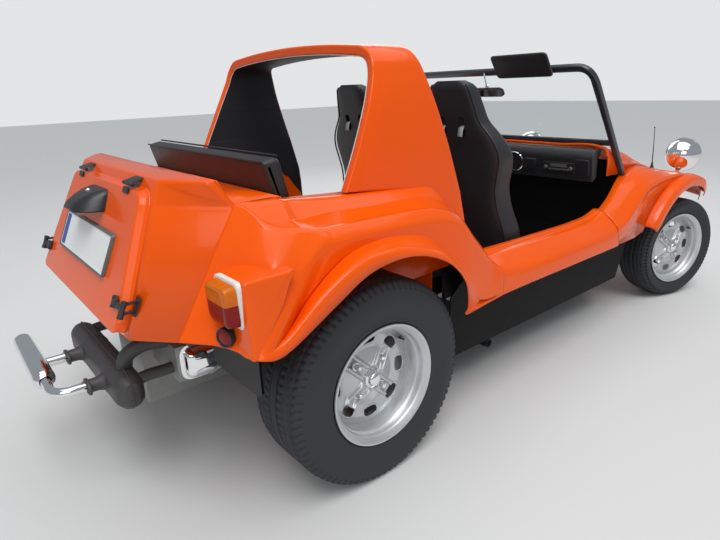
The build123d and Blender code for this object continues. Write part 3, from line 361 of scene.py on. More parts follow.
def piece(name, nets, material, body="chassis", node=(), wall=0.0, flip=False, crease=38,
          keep=None):
    """A mesh from nets, each an array or (array, wrap_rows, wrap_columns).

    node names what it stands for, flip turns the faces over, wall gives a skin its thickness, and
    keep(centres) says which faces stay.
    """
    points = []
    quads = []
    count = 0
    for net in nets:
        grid, wrap_rows, wrap_columns = net if isinstance(net, tuple) else (net, False, False)
        grid = np.asarray(grid, float)
        faces = net_faces(*grid.shape[:2], wrap_rows, wrap_columns, count)
        flat = grid.reshape(-1, 3)
        if keep:
            faces = faces[keep(flat[faces - count].mean(1))]
        quads.append(faces[:, ::-1] if flip else faces)
        points.append(flat)
        count += len(flat)
    mesh = bpy.data.meshes.new(name)
    mesh.from_pydata(np.concatenate(points) + (AXLE_X, 0, 0), [], np.concatenate(quads).tolist())
    return dress(name, mesh, material, body, node, wall, crease)


def dress(name, mesh, material, body, node, wall, crease):
    """Merges doubled points, shades smooth but for sharp creases, and gives the piece its body."""
    bm = bmesh.new()
    bm.from_mesh(mesh)
    bmesh.ops.remove_doubles(bm, verts=bm.verts, dist=1e-5)
    bmesh.ops.dissolve_degenerate(bm, edges=bm.edges, dist=1e-6)
    bm.to_mesh(mesh)
    bm.free()
    mesh.polygons.foreach_set("use_smooth", np.ones(len(mesh.polygons), bool))
    mesh.set_sharp_from_angle(angle=math.radians(crease))
    mesh.materials.append(material)
    made = bpy.data.objects.new(name, mesh)
    scene.collection.objects.link(made)
    if wall:
        thick = made.modifiers.new("wall", "SOLIDIFY")
        thick.thickness = wall
        thick.offset = -1
        thick.use_even_offset = False
    if node:
        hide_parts(*([node] if isinstance(node, str) else node))
    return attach(made, body)


# %% [markdown]
# Bars and round parts need two more surfaces. A tube carries a ring along a path, and a turned part
# carries a profile round an axis. Curves with a bevel or the Spin tool could make them too, but as
# plain grids they go through the same `piece`.

# %% Tubes and turned parts
def tube(path, radius, around=16):
    """A round bar along a path: rings across its direction, each turned as little as possible."""
    p = np.asarray(path, float)
    ahead = np.gradient(p, axis=0)
    ahead /= np.linalg.norm(ahead, axis=1, keepdims=True)
    side = np.cross(ahead[0], (0, 0, 1) if abs(ahead[0][2]) < 0.9 else (1, 0, 0))
    rings = []
    for place, direction, size in zip(p, ahead, np.broadcast_to(radius, len(p))):
        side = side - direction * (side @ direction)
        side = side / np.linalg.norm(side)
        other = np.cross(direction, side)
        angle = np.linspace(0, 2 * math.pi, around, endpoint=False)[:, None]
        rings.append(place + size * (np.cos(angle) * side + np.sin(angle) * other))
    ends = [np.repeat(p[:1], around, 0)] + rings + [np.repeat(p[-1:], around, 0)]
    return np.array(ends), False, True


def turned(profile, centre, axis, around=64, start=None):
    """A surface turned about an axis: profile rows are radius and distance along the axis."""
    axis = np.asarray(axis, float) / np.linalg.norm(axis)
    if start is None:
        start = np.cross(axis, (0, 0, 1) if abs(axis[2]) < 0.9 else (1, 0, 0))
    side = np.asarray(start, float)
    side = side / np.linalg.norm(side)
    other = np.cross(axis, side)
    angle = np.linspace(0, 2 * math.pi, around, endpoint=False)[None, :, None]
    r, h = np.asarray(profile, float).T[:, :, None, None]
    ring = np.cos(angle) * side + np.sin(angle) * other
    return np.asarray(centre, float) + h * axis + r * ring, False, True


# %% [markdown]
# ## The rear quarter
#
# One moulding runs from the ledge under the hoop, over a strip for the hood's studs, down the side
# and out to the flare over the wheel. At the tail its ridge turns round the end of the strip, and
# the slope below it sweeps out to the flare's lip. It is one net here too. Body stations come from
# the arch by angle. Tail stations are curves from the ridge through a middle point to the foot.

# %% Rear quarter stations
SHELL = 0.005
ARCH_X, ARCH_Z, ARCH_RADIUS = 0.0, 0.39, 0.407
LEDGE_INNER, LEDGE_OUTER, STUD_Y, RIDGE_Y, SIDE_Y = 0.54, 0.576, 0.617, 0.72, 0.745
# tail stations: the ridge, the middle of the slope, its foot, and x of the ledge's inner end
TAIL = [
    ((-0.360, 0.553, 0.975), (-0.474, 0.577, 0.811), (-0.586, 0.601, 0.650), -0.350),
    ((-0.345, 0.585, 0.968), (-0.459, 0.614, 0.802), (-0.550, 0.642, 0.648), -0.325),
    ((-0.337, 0.622, 0.950), (-0.437, 0.662, 0.793), (-0.515, 0.683, 0.646), -0.310),
    ((-0.322, 0.660, 0.925), (-0.416, 0.722, 0.790), (-0.490, 0.750, 0.645), -0.295),
    ((-0.288, 0.690, 0.911), (-0.400, 0.776, 0.790), (-0.487, 0.804, 0.645), -0.270),
    ((-0.243, 0.709, 0.906), (-0.340, 0.784, 0.770), (-0.467, 0.832, 0.641), -0.235),
]
# body stations: x, ledge z, stud strip z, ridge z, arch angle, crease out, lip top out, crease y, lip y
BODY = [
    (-0.200, 0.964, 0.915, 0.902, 140, 0.030, 0.040, 0.780, 0.835),
    (-0.160, 0.960, 0.916, 0.899, 126, 0.030, 0.046, 0.762, 0.835),
    (-0.100, 0.955, 0.916, 0.898, 109, 0.034, 0.042, 0.746, 0.835),
    (0.000, 0.947, 0.912, 0.896, 92, 0.038, 0.030, 0.745, 0.834),
    (0.100, 0.942, 0.908, 0.894, 78, 0.045, 0.019, 0.745, 0.834),
    (0.204, 0.936, 0.908, 0.890, 64, 0.054, 0.018, 0.745, 0.834),
    (0.291, 0.931, 0.905, 0.879, 54, 0.050, 0.016, 0.750, 0.832),
    (0.355, 0.926, 0.896, 0.858, 45, 0.046, 0.014, 0.756, 0.824),
    (0.408, 0.917, 0.876, 0.824, 37, 0.044, 0.012, 0.762, 0.815),
    (0.458, 0.884, 0.832, 0.768, 28, 0.050, 0.024, 0.768, 0.796),
    (0.508, 0.815, 0.768, 0.716, 18.5, 0.066, 0.058, 0.768, 0.776),
    (0.560, 0.738, 0.702, 0.660, 13.5, 0.125, 0.120, 0.764, 0.764),
]
FRONT_END = [(LEDGE_INNER, 0.668), (0.60, 0.668), (0.618, 0.65), (0.692, 0.621), (0.706, 0.616),
             (RIDGE_Y, 0.6114), (0.755, 0.60), (0.757, 0.56), (0.759, 0.52), (0.76, 0.508),
             (0.76, 0.50)]


def tail_station(ridge, middle, foot, inner_x):
    """Ledge and strip drawn together towards the ridge, then a quadratic curve to the foot."""
    ridge, middle, foot = (np.array(p) for p in (ridge, middle, foot))
    inner = np.array((inner_x, LEDGE_INNER, 0.974))
    lift = np.array((0, 0, 1))
    sink = min(1.0, (ridge[1] - 0.55) / 0.14)
    strip = [inner, inner + (ridge - inner) * 0.20 + lift * 0.012 * sink,
             inner + (ridge - inner) * 0.52 - lift * 0.018 * sink,
             inner + (ridge - inner) * 0.86 - lift * 0.014 * sink,
             inner + (ridge - inner) * 0.92 + lift * 0.001]
    bend = 2 * middle - (ridge + foot) / 2
    slope = [(1 - t) ** 2 * ridge + 2 * t * (1 - t) * bend + t * t * foot for t in (0.30, 0.66, 0.93, 0.97)]
    return strip + [ridge] + slope + [foot]


def arch_place(angle, out, y):
    """A point out from the arch edge at an angle in degrees."""
    c, s = math.cos(math.radians(angle)), math.sin(math.radians(angle))
    return np.array((ARCH_X + (ARCH_RADIUS + out) * c, y, ARCH_Z + (ARCH_RADIUS + out) * s))


def body_station(x, ledge, strip, ridge, angle, crease_out, lip_out, crease_y, lip_y):
    """Ledge, stud strip, ridge, the side down to the flare's crease, its top and its lip."""
    crease = arch_place(angle, crease_out, crease_y)
    side = np.array((x, SIDE_Y, ridge - 0.03))
    top = [(x, LEDGE_INNER, ledge + 0.004), (x, LEDGE_OUTER, ledge), (x, STUD_Y, strip),
           (x, RIDGE_Y - 0.026, ridge - 0.004), (x, RIDGE_Y - 0.014, ridge + 0.001), (x, RIDGE_Y, ridge)]
    lip = [arch_place(angle, lip_out, lip_y - 0.01), arch_place(angle, 0.002, lip_y)]
    return [np.array(p) for p in [*top, side, (side + crease) / 2, crease, *lip]]


stations = [tail_station(*row) for row in TAIL] + [body_station(*row) for row in BODY]
# just behind the arch the lip runs level to the tail's foot
LEVEL_LIP = [(-0.365, 0.79, 0.67), (-0.395, 0.824, 0.664), (-0.40, 0.833, 0.636)]
stations[6][8:] = [np.array(p) for p in LEVEL_LIP]
stations.append([np.array((0.612, y, z)) for y, z in FRONT_END])
QUARTER_ROUNDING = [0.012, 0.006, 0.004, 0.004, 0.006, 0.012, 0.04, 0.01, 0.01]


def net_from_stations(stations, knots, rounding, count, steps=5):
    """Rows are read along the stations as smooth lines, then joined with round corners."""
    table = np.array(stations, float)
    rows = [along(table[:, k], knots, count) for k in range(table.shape[1])]
    return rounded_net(rows, rounding, steps)


def walk(stations):
    """Knots for stations: the mean distance from one to the next, added up."""
    steps = np.linalg.norm(np.diff(np.array(stations), axis=0), axis=2).mean(1)
    return np.concatenate([[0], np.cumsum(steps)])


# %% Rear quarter panels
quarter_net = net_from_stations(stations, walk(stations), QUARTER_ROUNDING, 181)
SIDES = (("left", 1), ("right", -1))
for word, sign in SIDES:
    piece(f"rear_quarter_{word}", [quarter_net * (1, sign, 1)], orange, node=f"rear_fender_{word}",
          wall=SHELL, flip=sign > 0)
print("rear quarter net", quarter_net.shape)

# %% [markdown]
# ## Loops and prisms with soft edges
#
# Lids, lamps, pads and boards are flat outlines with a thickness. A moulding has no knife edge, so
# the outline's corners become arcs first. Then the prism's rim is drawn in along a quarter circle,
# by moving every outline point towards the inside.

# %% Loops and prisms
def rectangle(a0, a1, b0, b1):
    """The four corners between two values of one coordinate and two of another, in order round."""
    return [(a0, b0), (a1, b0), (a1, b1), (a0, b1)]


def loop(points, radius, steps=6):
    """A closed outline whose corners are cut by the radius and bridged by a quadratic curve."""
    p = np.asarray(points, float)
    before = np.roll(p, 1, 0) - p
    after = np.roll(p, -1, 0) - p
    reach_a = np.linalg.norm(before, axis=1, keepdims=True)
    reach_b = np.linalg.norm(after, axis=1, keepdims=True)
    cut = np.minimum(np.broadcast_to(radius, (len(p),))[:, None], 0.48 * np.minimum(reach_a, reach_b))
    start = (p + before / reach_a * cut)[:, None]
    end = (p + after / reach_b * cut)[:, None]
    t = np.linspace(0, 1, steps)[None, :, None]
    return ((1 - t) ** 2 * start + 2 * t * (1 - t) * p[:, None] + t**2 * end).reshape(-1, 3)


def inward(ring, direction):
    """Unit vectors across a flat loop that point to its inside."""
    tangent = np.roll(ring, -1, 0) - np.roll(ring, 1, 0)
    across = np.cross(direction, tangent)
    across /= np.linalg.norm(across, axis=1, keepdims=True)
    centre = ring.mean(0)
    return across if ((centre - ring) * across).sum() > 0 else -across


def ring_stack(rings):
    """Closed loops joined one after another, with the first and the last closed by a fan."""
    rows = [np.asarray(r, float) for r in rings]
    first, last = (np.broadcast_to(row.mean(0), row.shape) for row in (rows[0], rows[-1]))
    return np.array([first, *rows, last]), False, True


def prism(ring, direction, length, edge=0.003, steps=4, back_edge=None):
    """A closed prism over a flat loop: both rims are drawn in along a quarter circle of radius edge."""
    d = np.asarray(direction, float) / np.linalg.norm(direction)
    inner = inward(ring, d)
    back = edge if back_edge is None else back_edge
    angle = np.linspace(0, math.pi / 2, steps)
    levels = [(back * (1 - math.sin(a)), back * (1 - math.cos(a))) for a in angle]
    levels += [(edge * (1 - math.cos(a)), length - edge * (1 - math.sin(a))) for a in angle]
    return ring_stack([ring + inner * inset + d * depth for inset, depth in levels])


def plate(outline, thickness, direction):
    """Corners and faces of a sharp prism, with which a slot is cut."""
    base = np.asarray(outline, float)
    far = base + np.asarray(direction, float) * thickness
    n = len(base)
    sides = [(i, (i + 1) % n, (i + 1) % n + n, i + n) for i in range(n)]
    return np.vstack([base, far]), [tuple(range(n))[::-1], tuple(range(n, 2 * n))] + sides


def on_side(net, sign):
    """A closed net of the car's left side, or for -1 its mirror image on the right."""
    return net[0] * (1, sign, 1), False, True


def moved(net, y):
    """A closed net moved across the car."""
    return net[0] + (0, y, 0), False, True


# %% [markdown]
# ## The tail box
#
# Behind the seats the body rises into a box over the engine. Its rear face leans forward and carries
# the lid. Three plan outlines at three heights give the box, and its deck runs forward to the rear
# well. Rounding the net in both directions gives the soft moulded corners that catch the light.

# %% Tail box
LID_TILT = math.atan2(0.1587, 0.3552)
LID_FACE_X, LID_FACE_Z = -0.5458, 1.0152
# plan outlines, left half from the rear corner forward: height, then three corners of x and y
BOX_RINGS = [
    (0.650, (-0.677, 0.495), (-0.586, 0.601), (-0.378, 0.601)),
    (0.975, (-0.531, 0.404), (-0.364, 0.553), (-0.358, 0.553)),
    (1.045, (-0.500, 0.385), (-0.424, 0.534), (-0.400, 0.534)),
]
DECK_HALF = 0.5405


def box_level(row):
    """A plan outline from the left front corner round the rear to the right front corner."""
    z = row[0]
    left = [(x, y, z) for x, y in row[1:]]
    return left[::-1] + [(x, -y, z) for x, y, z in left]


levels = [box_level(row) for row in BOX_RINGS]
share = np.linspace(1, -1, 6)
top_front = [(-0.398, DECK_HALF * s, 1.045) for s in share]
ramp_foot = [(-0.364, DECK_HALF * s, 0.9735) for s in share]
deck_front = [(-0.204, DECK_HALF * s, 0.9735) for s in share]
deck_low = [(-0.20, DECK_HALF * s, 0.964) for s in share]
tail_net = rounded_net(levels + [top_front, ramp_foot, deck_front, deck_low],
                       [0.012, 0.009, 0.01, 0.012, 0.004])
tail_net = rounded_net(tail_net.transpose(1, 0, 2), [0.006, 0.012, 0.012, 0.006]).transpose(1, 0, 2)
fill = np.linspace(0, 1, 9)[None, :, None]
middle = tail_net.shape[1] // 2
rear_fill = tail_net[:, middle - 1:middle] * (1 - fill) + tail_net[:, middle:middle + 1] * fill
tail_net = np.concatenate([tail_net[:, :middle - 1], rear_fill, tail_net[:, middle + 1:]], axis=1)
piece("tail_box_shell", [tail_net], orange, node="tail_box", wall=SHELL, flip=True)
print("tail box net", tail_net.shape)

# %% [markdown]
# ## The engine lid
#
# The lid is a shallow tray: a flat face, a bevelled border and a narrow flange that lies on a rubber
# seal. All its points come from one function, which puts a place across and up the lid on its
# leaning plane.

# %% Engine lid
def on_lid(y, z, depth=0.0):
    """A point at a side distance and height, that far behind the lid's leaning face."""
    y, z, depth = np.broadcast_arrays(np.asarray(y, float), z, depth)
    x = LID_FACE_X + (z - LID_FACE_Z) * math.tan(LID_TILT) + depth / math.cos(LID_TILT)
    return np.stack([x, y, z], -1)


LID_LOW, LID_HIGH = 0.662, 1.012
LID_LOW_HALF, LID_HIGH_HALF = 0.445, 0.35
SEAL_GROW, SEAL_DEPTH, SEAL_RADIUS = 0.029, 0.0285, 0.003
LID_OUT = np.array((-math.cos(LID_TILT), 0, math.sin(LID_TILT)))


def lid_loop(grow, depth, radius=0.028):
    """The lid's outline grown all round, at a depth, with round corners."""
    low = LID_LOW - 0.4 * grow
    high = LID_HIGH + 0.3 * grow
    corners = [(-LID_LOW_HALF - grow, low), (LID_LOW_HALF + grow, low), (LID_HIGH_HALF + grow, high),
               (-LID_HIGH_HALF - grow, high)]
    return loop([on_lid(y, z, depth) for y, z in corners], radius + grow)


lid_rows = [lid_loop(g, d) for g, d in (
    (-0.002, 0.0), (0.005, 0.0), (0.009, 0.0008), (0.0115, 0.003), (0.0165, 0.0165), (0.0185, 0.019),
    (0.021, 0.0202), (0.029, 0.0212), (0.0305, 0.0222), (0.0305, 0.0248), (0.028, 0.0256), (0.014, 0.0256),
    (0.01, 0.02), (0.006, 0.005), (-0.002, 0.0045))]
piece("engine_lid_shell", [ring_stack(lid_rows)], orange, body="lid", node="engine_lid", crease=40)
seal = lid_loop(SEAL_GROW, SEAL_DEPTH)
seal_in = inward(seal, LID_OUT)
seal_rows = [seal + seal_in * (SEAL_RADIUS * math.cos(a)) + LID_OUT * (SEAL_RADIUS * math.sin(a))
             for a in np.linspace(0, 2 * math.pi, 9)[:-1]]
piece("lid_seal", [(np.array(seal_rows), True, True)], soft_rubber, flip=True)
print("lid rings", len(lid_rows))

# %% [markdown]
# Two barrel hinges hold the lid at its upper edge. The leaf and the long barrel turn with the lid,
# and the two short barrels and the strap stay on the tail. Both halves share the pin's axis, which
# is the joint's axis. A hinge made as one piece would tear apart when the lid opens.

# %% Lid hinges
HINGE_X, HINGE_Z, HINGE_Y, HINGE_HALF = -0.541, 1.029, 0.25, 0.029
BARREL, BRACKET_HALF, BRACKET_GAP = 0.0062, 0.006, 0.0005
hinge_nets = []
for side in (-1, 1):
    y = side * HINGE_Y
    leaf = loop([on_lid(y + dy, z, -0.0015) for dy, z in
                 ((-0.024, 1.02), (-0.024, 1.002), (0.024, 1.002), (0.024, 1.02))], 0.004)
    hinge_nets.append(prism(leaf, LID_OUT, 0.004, 0.0012))
    hinge_nets.append(turned([(0, -HINGE_HALF), (0.005, -HINGE_HALF), (BARREL, -HINGE_HALF + 0.0012),
                              (BARREL, HINGE_HALF - 0.0012), (0.005, HINGE_HALF), (0, HINGE_HALF)],
                             (HINGE_X, y, HINGE_Z), (0, 1, 0), 20))
    for dy in (-0.015, 0.015):
        hinge_nets.append(turned([(0, 0.005), (0.002, 0.0048), (0.0034, 0.0036), (0.0036, 0.002)],
                                 on_lid(y + dy, 1.009), LID_OUT, 12))
piece("lid_hinges", hinge_nets, trim, body="lid", crease=35)
fixed_nets = []
for side in (-1, 1):
    y = side * HINGE_Y
    for end in (-1, 1):
        place = (HINGE_X, y + end * (HINGE_HALF + BRACKET_HALF + BRACKET_GAP), HINGE_Z)
        fixed_nets.append(turned([(0, -BRACKET_HALF), (0.0052, -BRACKET_HALF), (BARREL, -0.005),
                                  (BARREL, 0.005), (0.0052, BRACKET_HALF), (0, BRACKET_HALF)], place,
                                  (0, 1, 0), 20))
    strap = loop([(HINGE_X, y - 0.036, HINGE_Z + 0.004), (HINGE_X, y + 0.036, HINGE_Z + 0.004),
                  (-0.49, y + 0.036, 1.0462), (-0.49, y - 0.036, 1.0462)], 0.004)
    fixed_nets.append(prism(strap, (-0.25, 0, 0.97), 0.0025, 0.001))
piece("hinge_brackets", fixed_nets, trim, node="lid_fixings", crease=35)
print("two hinges")

# %% [markdown]
# A rubber latch closes each side of the lid: a base with two rivets, a strap and a waisted grip that
# is pulled into a keeper on the tail. The grip is one bar whose radius changes along it. The latch
# belongs to the lid and the keeper to the tail, so they part when the lid opens.

# %% Lid latches and their keepers
LATCH_Y, LATCH_Z = 0.47, 0.735
latch_nets = []
keeper_nets = []
for side in (-1, 1):
    base = loop([on_lid(side * (LATCH_Y + a), LATCH_Z + b, -0.0003) for a, b in
                 ((-0.074, -0.017), (-0.042, -0.013), (-0.042, 0.013), (-0.074, 0.017))], 0.006)
    latch_nets.append(prism(base, LID_OUT, 0.012, 0.003))
    strap = loop([on_lid(side * (LATCH_Y + a), LATCH_Z + b, -0.004) for a, b in
                  ((-0.052, -0.009), (0.012, -0.006), (0.012, 0.006), (-0.052, 0.009))], 0.003)
    latch_nets.append(prism(strap, LID_OUT, 0.007, 0.002))
    grip = on_lid(side * (LATCH_Y + 0.012), LATCH_Z, -0.008)
    up_lid = np.array((math.sin(LID_TILT), 0, math.cos(LID_TILT)))
    bar = [grip + up_lid * h for h in (-0.026, -0.024, -0.012, 0, 0.012, 0.024, 0.026)]
    latch_nets.append(tube(bar, [0.004, 0.009, 0.0078, 0.007, 0.0078, 0.009, 0.004], 18))
    for h in (-0.012, 0.012):
        latch_nets.append(turned([(0, 0.0165), (0.003, 0.016), (0.004, 0.014), (0.004, 0.01)],
                                 on_lid(side * (LATCH_Y - 0.06), LATCH_Z + h), LID_OUT, 12))
    for h in (-0.0125, 0.0125):
        cheek = loop([on_lid(side * (LATCH_Y + 0.002), LATCH_Z + h + b, d) for d, b in
                      ((0.03, -0.0035), (-0.006, -0.0035), (-0.006, 0.0035), (0.03, 0.0035))], 0.003)
        keeper_nets.append(prism(cheek, (0, side, 0), 0.012, 0.0012))
    foot = loop([on_lid(side * (LATCH_Y + a), LATCH_Z + b, 0.028)
                 for a, b in rectangle(-0.004, 0.026, -0.026, 0.026)], 0.008)
    keeper_nets.append(prism(foot, LID_OUT, 0.0035, 0.001))
piece("latch_handles", latch_nets, soft_rubber, body="lid", node="lid_latches", crease=40)
piece("latch_keepers", keeper_nets, trim, crease=40)
print("two latches and their keepers")

# %% [markdown]
# ## Number plate and its lamp
#
# The plate is blank: a white pressing with a raised rim and a plain blue band in a grey frame. The
# lamp over it is a black wedge with a round chrome screw on top and a pale lens below.

# %% Number plate
PLATE_Z, PLATE_HALF, PLATE_RISE, BAND_WIDTH = 0.828, 0.264, 0.06, 0.055


def plate_loop(shrink, depth, radius, end=None):
    """The plate's outline drawn in by shrink, at a depth before the lid. end moves its right edge."""
    y = PLATE_HALF - shrink
    h = PLATE_RISE - shrink
    corners = rectangle(-y if end is None else end, y, -h, h)
    return loop([on_lid(a, PLATE_Z + b, depth) for a, b in corners], radius)


frame_rows = [plate_loop(shrink, depth, 0.01) for shrink, depth in (
    (0.0, -0.0005), (0.0, -0.010), (0.001, -0.0122), (0.003, -0.0126), (0.005, -0.0112), (0.0055, -0.0085),
    (0.0055, -0.006))]
piece("plate_frame", [ring_stack(frame_rows)], frame_grey, body="lid", node="number_plate",
      crease=40, flip=True)
white_rows = [plate_loop(shrink, depth, 0.008) for shrink, depth in (
    (0.0058, -0.0065), (0.0058, -0.0095), (0.0066, -0.0102), (0.0082, -0.0102), (0.0092, -0.0092),
    (0.02, -0.0092))]
piece("plate_face", [ring_stack(white_rows)], plate_white, body="lid", crease=40, flip=True)
band_rows = [plate_loop(0.01, d, 0.004, end=PLATE_HALF - BAND_WIDTH) for d in (-0.009, -0.0096)]
piece("plate_band", [ring_stack(band_rows)], plate_blue, body="lid", crease=40, flip=True)
print("plate", 2 * PLATE_HALF, "m wide")

# %% Plate lamp
# depth before the lid, low z, high z, half width low, half width high
WEDGE = [
    (-0.0005, 0.930, 0.993, 0.105, 0.086),
    (-0.008, 0.929, 0.994, 0.106, 0.086),
    (-0.020, 0.929, 0.992, 0.104, 0.082),
    (-0.040, 0.930, 0.986, 0.098, 0.073),
    (-0.060, 0.931, 0.975, 0.086, 0.061),
    (-0.074, 0.933, 0.963, 0.070, 0.048),
    (-0.080, 0.937, 0.955, 0.056, 0.038),
]
wedge_rows = []
for depth, low, high, half_low, half_high in WEDGE:
    wedge_rows.append(loop([on_lid(y, z, depth) for y, z in
                            ((-half_low, low), (half_low, low), (half_high, high), (-half_high, high))],
                           [0.008, 0.008, 0.022, 0.022]))
piece("plate_lamp_housing", [ring_stack(wedge_rows)], trim, body="lid", node="plate_lamp",
      crease=45, flip=True)
screw_up = np.array((-0.35, 0, 0.94))
screw = turned([(0, 0.006), (0.006, 0.0055), (0.0085, 0.003), (0.009, -0.004)], on_lid(0.0, 0.987, -0.036),
               screw_up, 20)
piece("plate_lamp_screw", [screw], chrome, body="lid")
lens_corners = ((-0.06, -0.018), (0.06, -0.018), (0.05, -0.062), (-0.05, -0.062))
lens = loop([on_lid(y, 0.9315, d) for y, d in lens_corners], 0.012)
piece("plate_lamp_lens", [prism(lens, (0, 0, -1), 0.006, 0.002)], plate_white, body="lid")
print("plate lamp made")

# %% [markdown]
# ## Lamp pods and tail lamps
#
# Each tail lamp stands on a pod that grows out of the rear slope. The lamp is one upright lens on a
# white gasket, amber above and red below, and a fine grain stands for the pattern moulded inside it.
# A round reflector sits under it in a black ring. One side is worked out and the other mirrored.

# %% Pods, lamps and reflectors
POD_INNER, POD_OUTER, POD_TOP = 0.648, 0.80, 0.842
pod_side = [(-0.33, POD_TOP), (-0.4785, POD_TOP - 0.002), (-0.487, 0.642), (-0.47, 0.642), (-0.37, 0.76)]
pod_ring = loop([(x, POD_INNER, z) for x, z in pod_side], [0.004, 0.012, 0.006, 0.006, 0.006])
pod = prism(pod_ring, (0, 1, 0), POD_OUTER - POD_INNER, 0.01, 6)
# the pod's side leans out with the swept slope below it
pod_rows = pod[0].copy()
lean = np.clip((POD_TOP - 0.05 - pod_rows[..., 2]) / 0.15, 0, 1)
pod_rows[..., 1] += lean * 0.03 * (pod_rows[..., 1] > 0.72)
LAMP_X, LAMP_Y, LAMP_Z, LAMP_HALF, LAMP_RISE = -0.48, 0.722, 0.774, 0.06, 0.057


def lamp_loop(grow, x, low=-1.0, high=1.0):
    """The lamp's rounded outline between two shares of its height, grown all round."""
    w = LAMP_HALF + grow
    bottom = low * LAMP_RISE - (grow if low == -1 else 0)
    top = high * LAMP_RISE + (grow if high == 1 else 0)
    radius = [0.02 if low == -1 else 0.002] * 2 + [0.02 if high == 1 else 0.002] * 2
    corners = rectangle(-w, w, bottom, top)
    return loop([(x - b * 0.043, LAMP_Y + a, LAMP_Z + b) for a, b in corners], radius, 10)


# where red ends and amber begins, as a share of the half height, and the gap between them
SPLIT, SPLIT_GAP = 0.12, 0.01
# growth of the outline and distance behind the pod's face, from the root to the lens's crown
LENS_RINGS = [(-0.001, 0), (-0.003, 0.03), (-0.0045, 0.037), (-0.008, 0.0405), (-0.016, 0.042),
              (-0.026, 0.0422)]
GASKET_RINGS = [(0.006, -0.008), (0.0065, 0.002), (0.006, 0.006), (0.003, 0.008), (-0.003, 0.008)]
lamp_pieces = []
for low, high, name, tone in ((-1.0, SPLIT - SPLIT_GAP, "lamp_red", red), (SPLIT, 1.0, "lamp_amber", amber)):
    lens_net = ring_stack([lamp_loop(g, LAMP_X - d, low, high) for g, d in LENS_RINGS])
    lamp_pieces.append((name, lens_net, tone))
gasket_net = ring_stack([lamp_loop(g, LAMP_X - d) for g, d in GASKET_RINGS])
DOT_CENTRE, DOT_WAY = (-0.4985, 0.715, 0.679), (-0.93, 0.36, 0)
for word, sign in SIDES:
    piece(f"lamp_pod_{word}", [on_side((pod_rows, False, True), sign)], orange, flip=sign > 0, crease=40)
    piece(f"lamp_gasket_{word}", [on_side(gasket_net, sign)], gasket_white, flip=sign > 0)
    for name, lens_net, tone in lamp_pieces:
        stands = "tail_lamps" if word == "left" and name == "lamp_red" else ()
        piece(f"{name}_{word}", [on_side(lens_net, sign)], tone, node=stands, flip=sign > 0)
    dot_place, dot_way = (np.array(v) * (1, sign, 1) for v in (DOT_CENTRE, DOT_WAY))
    ring = turned([(0.021, 0.004), (0.0215, 0.012), (0.0235, 0.0135), (0.0265, 0.0125), (0.0275, 0.009),
                   (0.0275, -0.018)], dot_place, dot_way, 40)
    piece(f"reflector_ring_{word}", [ring], trim)
    face = turned([(0, 0.0135), (0.012, 0.013), (0.0215, 0.01), (0.0215, 0.0)], dot_place, dot_way, 40)
    piece(f"reflector_face_{word}", [face], red)
print("tail lamps made")

# %% [markdown]
# ## The hoop
#
# The wide hoop behind the seats is one folded skin: orange outside and along its rear band, black
# inside. Its path is the outline seen from behind. At each height the rear and front edges come from
# two side-view lines, so every cross-section is found from its height alone.

# %% Hoop
HOOP_TOP_Z = 1.432
# outline seen from behind, left foot to the crown, and the side view's edges: height against x
HOOP_BACK = [(0.602, 0.64), (0.58, 0.82), (0.572, 0.945), (0.562, 1.10), (0.546, 1.24), (0.50, 1.402),
             (0.26, 1.424), (0.0, HOOP_TOP_Z)]
HOOP_REAR = [(0.64, 0.64), (0.668, 0.612), (0.765, 0.54), (0.836, 0.48), (0.902, 0.411), (0.931, 0.30),
             (0.951, 0.10), (0.957, 0.022), (1.045, 0.067), (1.156, 0.12), (1.25, 0.162), (1.32, 0.19),
             (1.38, 0.202), (1.45, 0.206)]
HOOP_FRONT = [(0.64, 0.62), (0.672, 0.612), (0.728, 0.598), (0.80, 0.592), (0.88, 0.58), (1.024, 0.535),
              (1.15, 0.49), (1.264, 0.45), (1.318, 0.432), (1.38, 0.412), (1.45, 0.404)]
HOOP_ROUNDING = [0.08, 0.06, 0.07, 0.07, 0.098, 0.12, 0.12]


def resampled(path, step):
    """The same broken line with points at most one step apart."""
    p = np.asarray(path, float)
    run = np.concatenate([[0], np.cumsum(np.linalg.norm(np.diff(p, axis=0), axis=1))])
    at = np.unique(np.concatenate([run, np.linspace(0, run[-1], int(run[-1] / step) + 2)]))
    return np.stack([np.interp(at, run, p[:, k]) for k in range(p.shape[1])], 1)


past_middle = (-HOOP_BACK[-2][0], HOOP_BACK[-2][1])
half_path = rounded_net([[p] for p in HOOP_BACK + [past_middle]], HOOP_ROUNDING, 14)[:-1, 0]
half_path = half_path[half_path[:, 0] >= -1e-6]
half_path[-1, 0] = 0.0
half_path = resampled(half_path, 0.012)
hoop_path = np.vstack([half_path, half_path[-2::-1] * (-1, 1)])
ahead = np.gradient(hoop_path, axis=0)
ahead /= np.linalg.norm(ahead, axis=1, keepdims=True)
into = np.stack([-ahead[:, 1], ahead[:, 0]], 1)
into *= np.where((into * ((0, 0.9) - hoop_path)).sum(1, keepdims=True) > 0, 1, -1)
rear_x = np.interp(hoop_path[:, 1], *np.array(HOOP_REAR).T)
front_x = np.interp(hoop_path[:, 1], *np.array(HOOP_FRONT).T)
front_x = np.maximum(front_x, rear_x + 0.004)


def hoop_rows(section):
    """Rows of the hoop: each is (share towards the front edge, offset along x, distance inward)."""
    rows = []
    for share, along_x, inset in section:
        x = rear_x + (front_x - rear_x) * share + along_x * np.minimum(1, (front_x - rear_x) / 0.12)
        yz = hoop_path + into * inset
        rows.append(np.column_stack([x, yz]))
    return rows


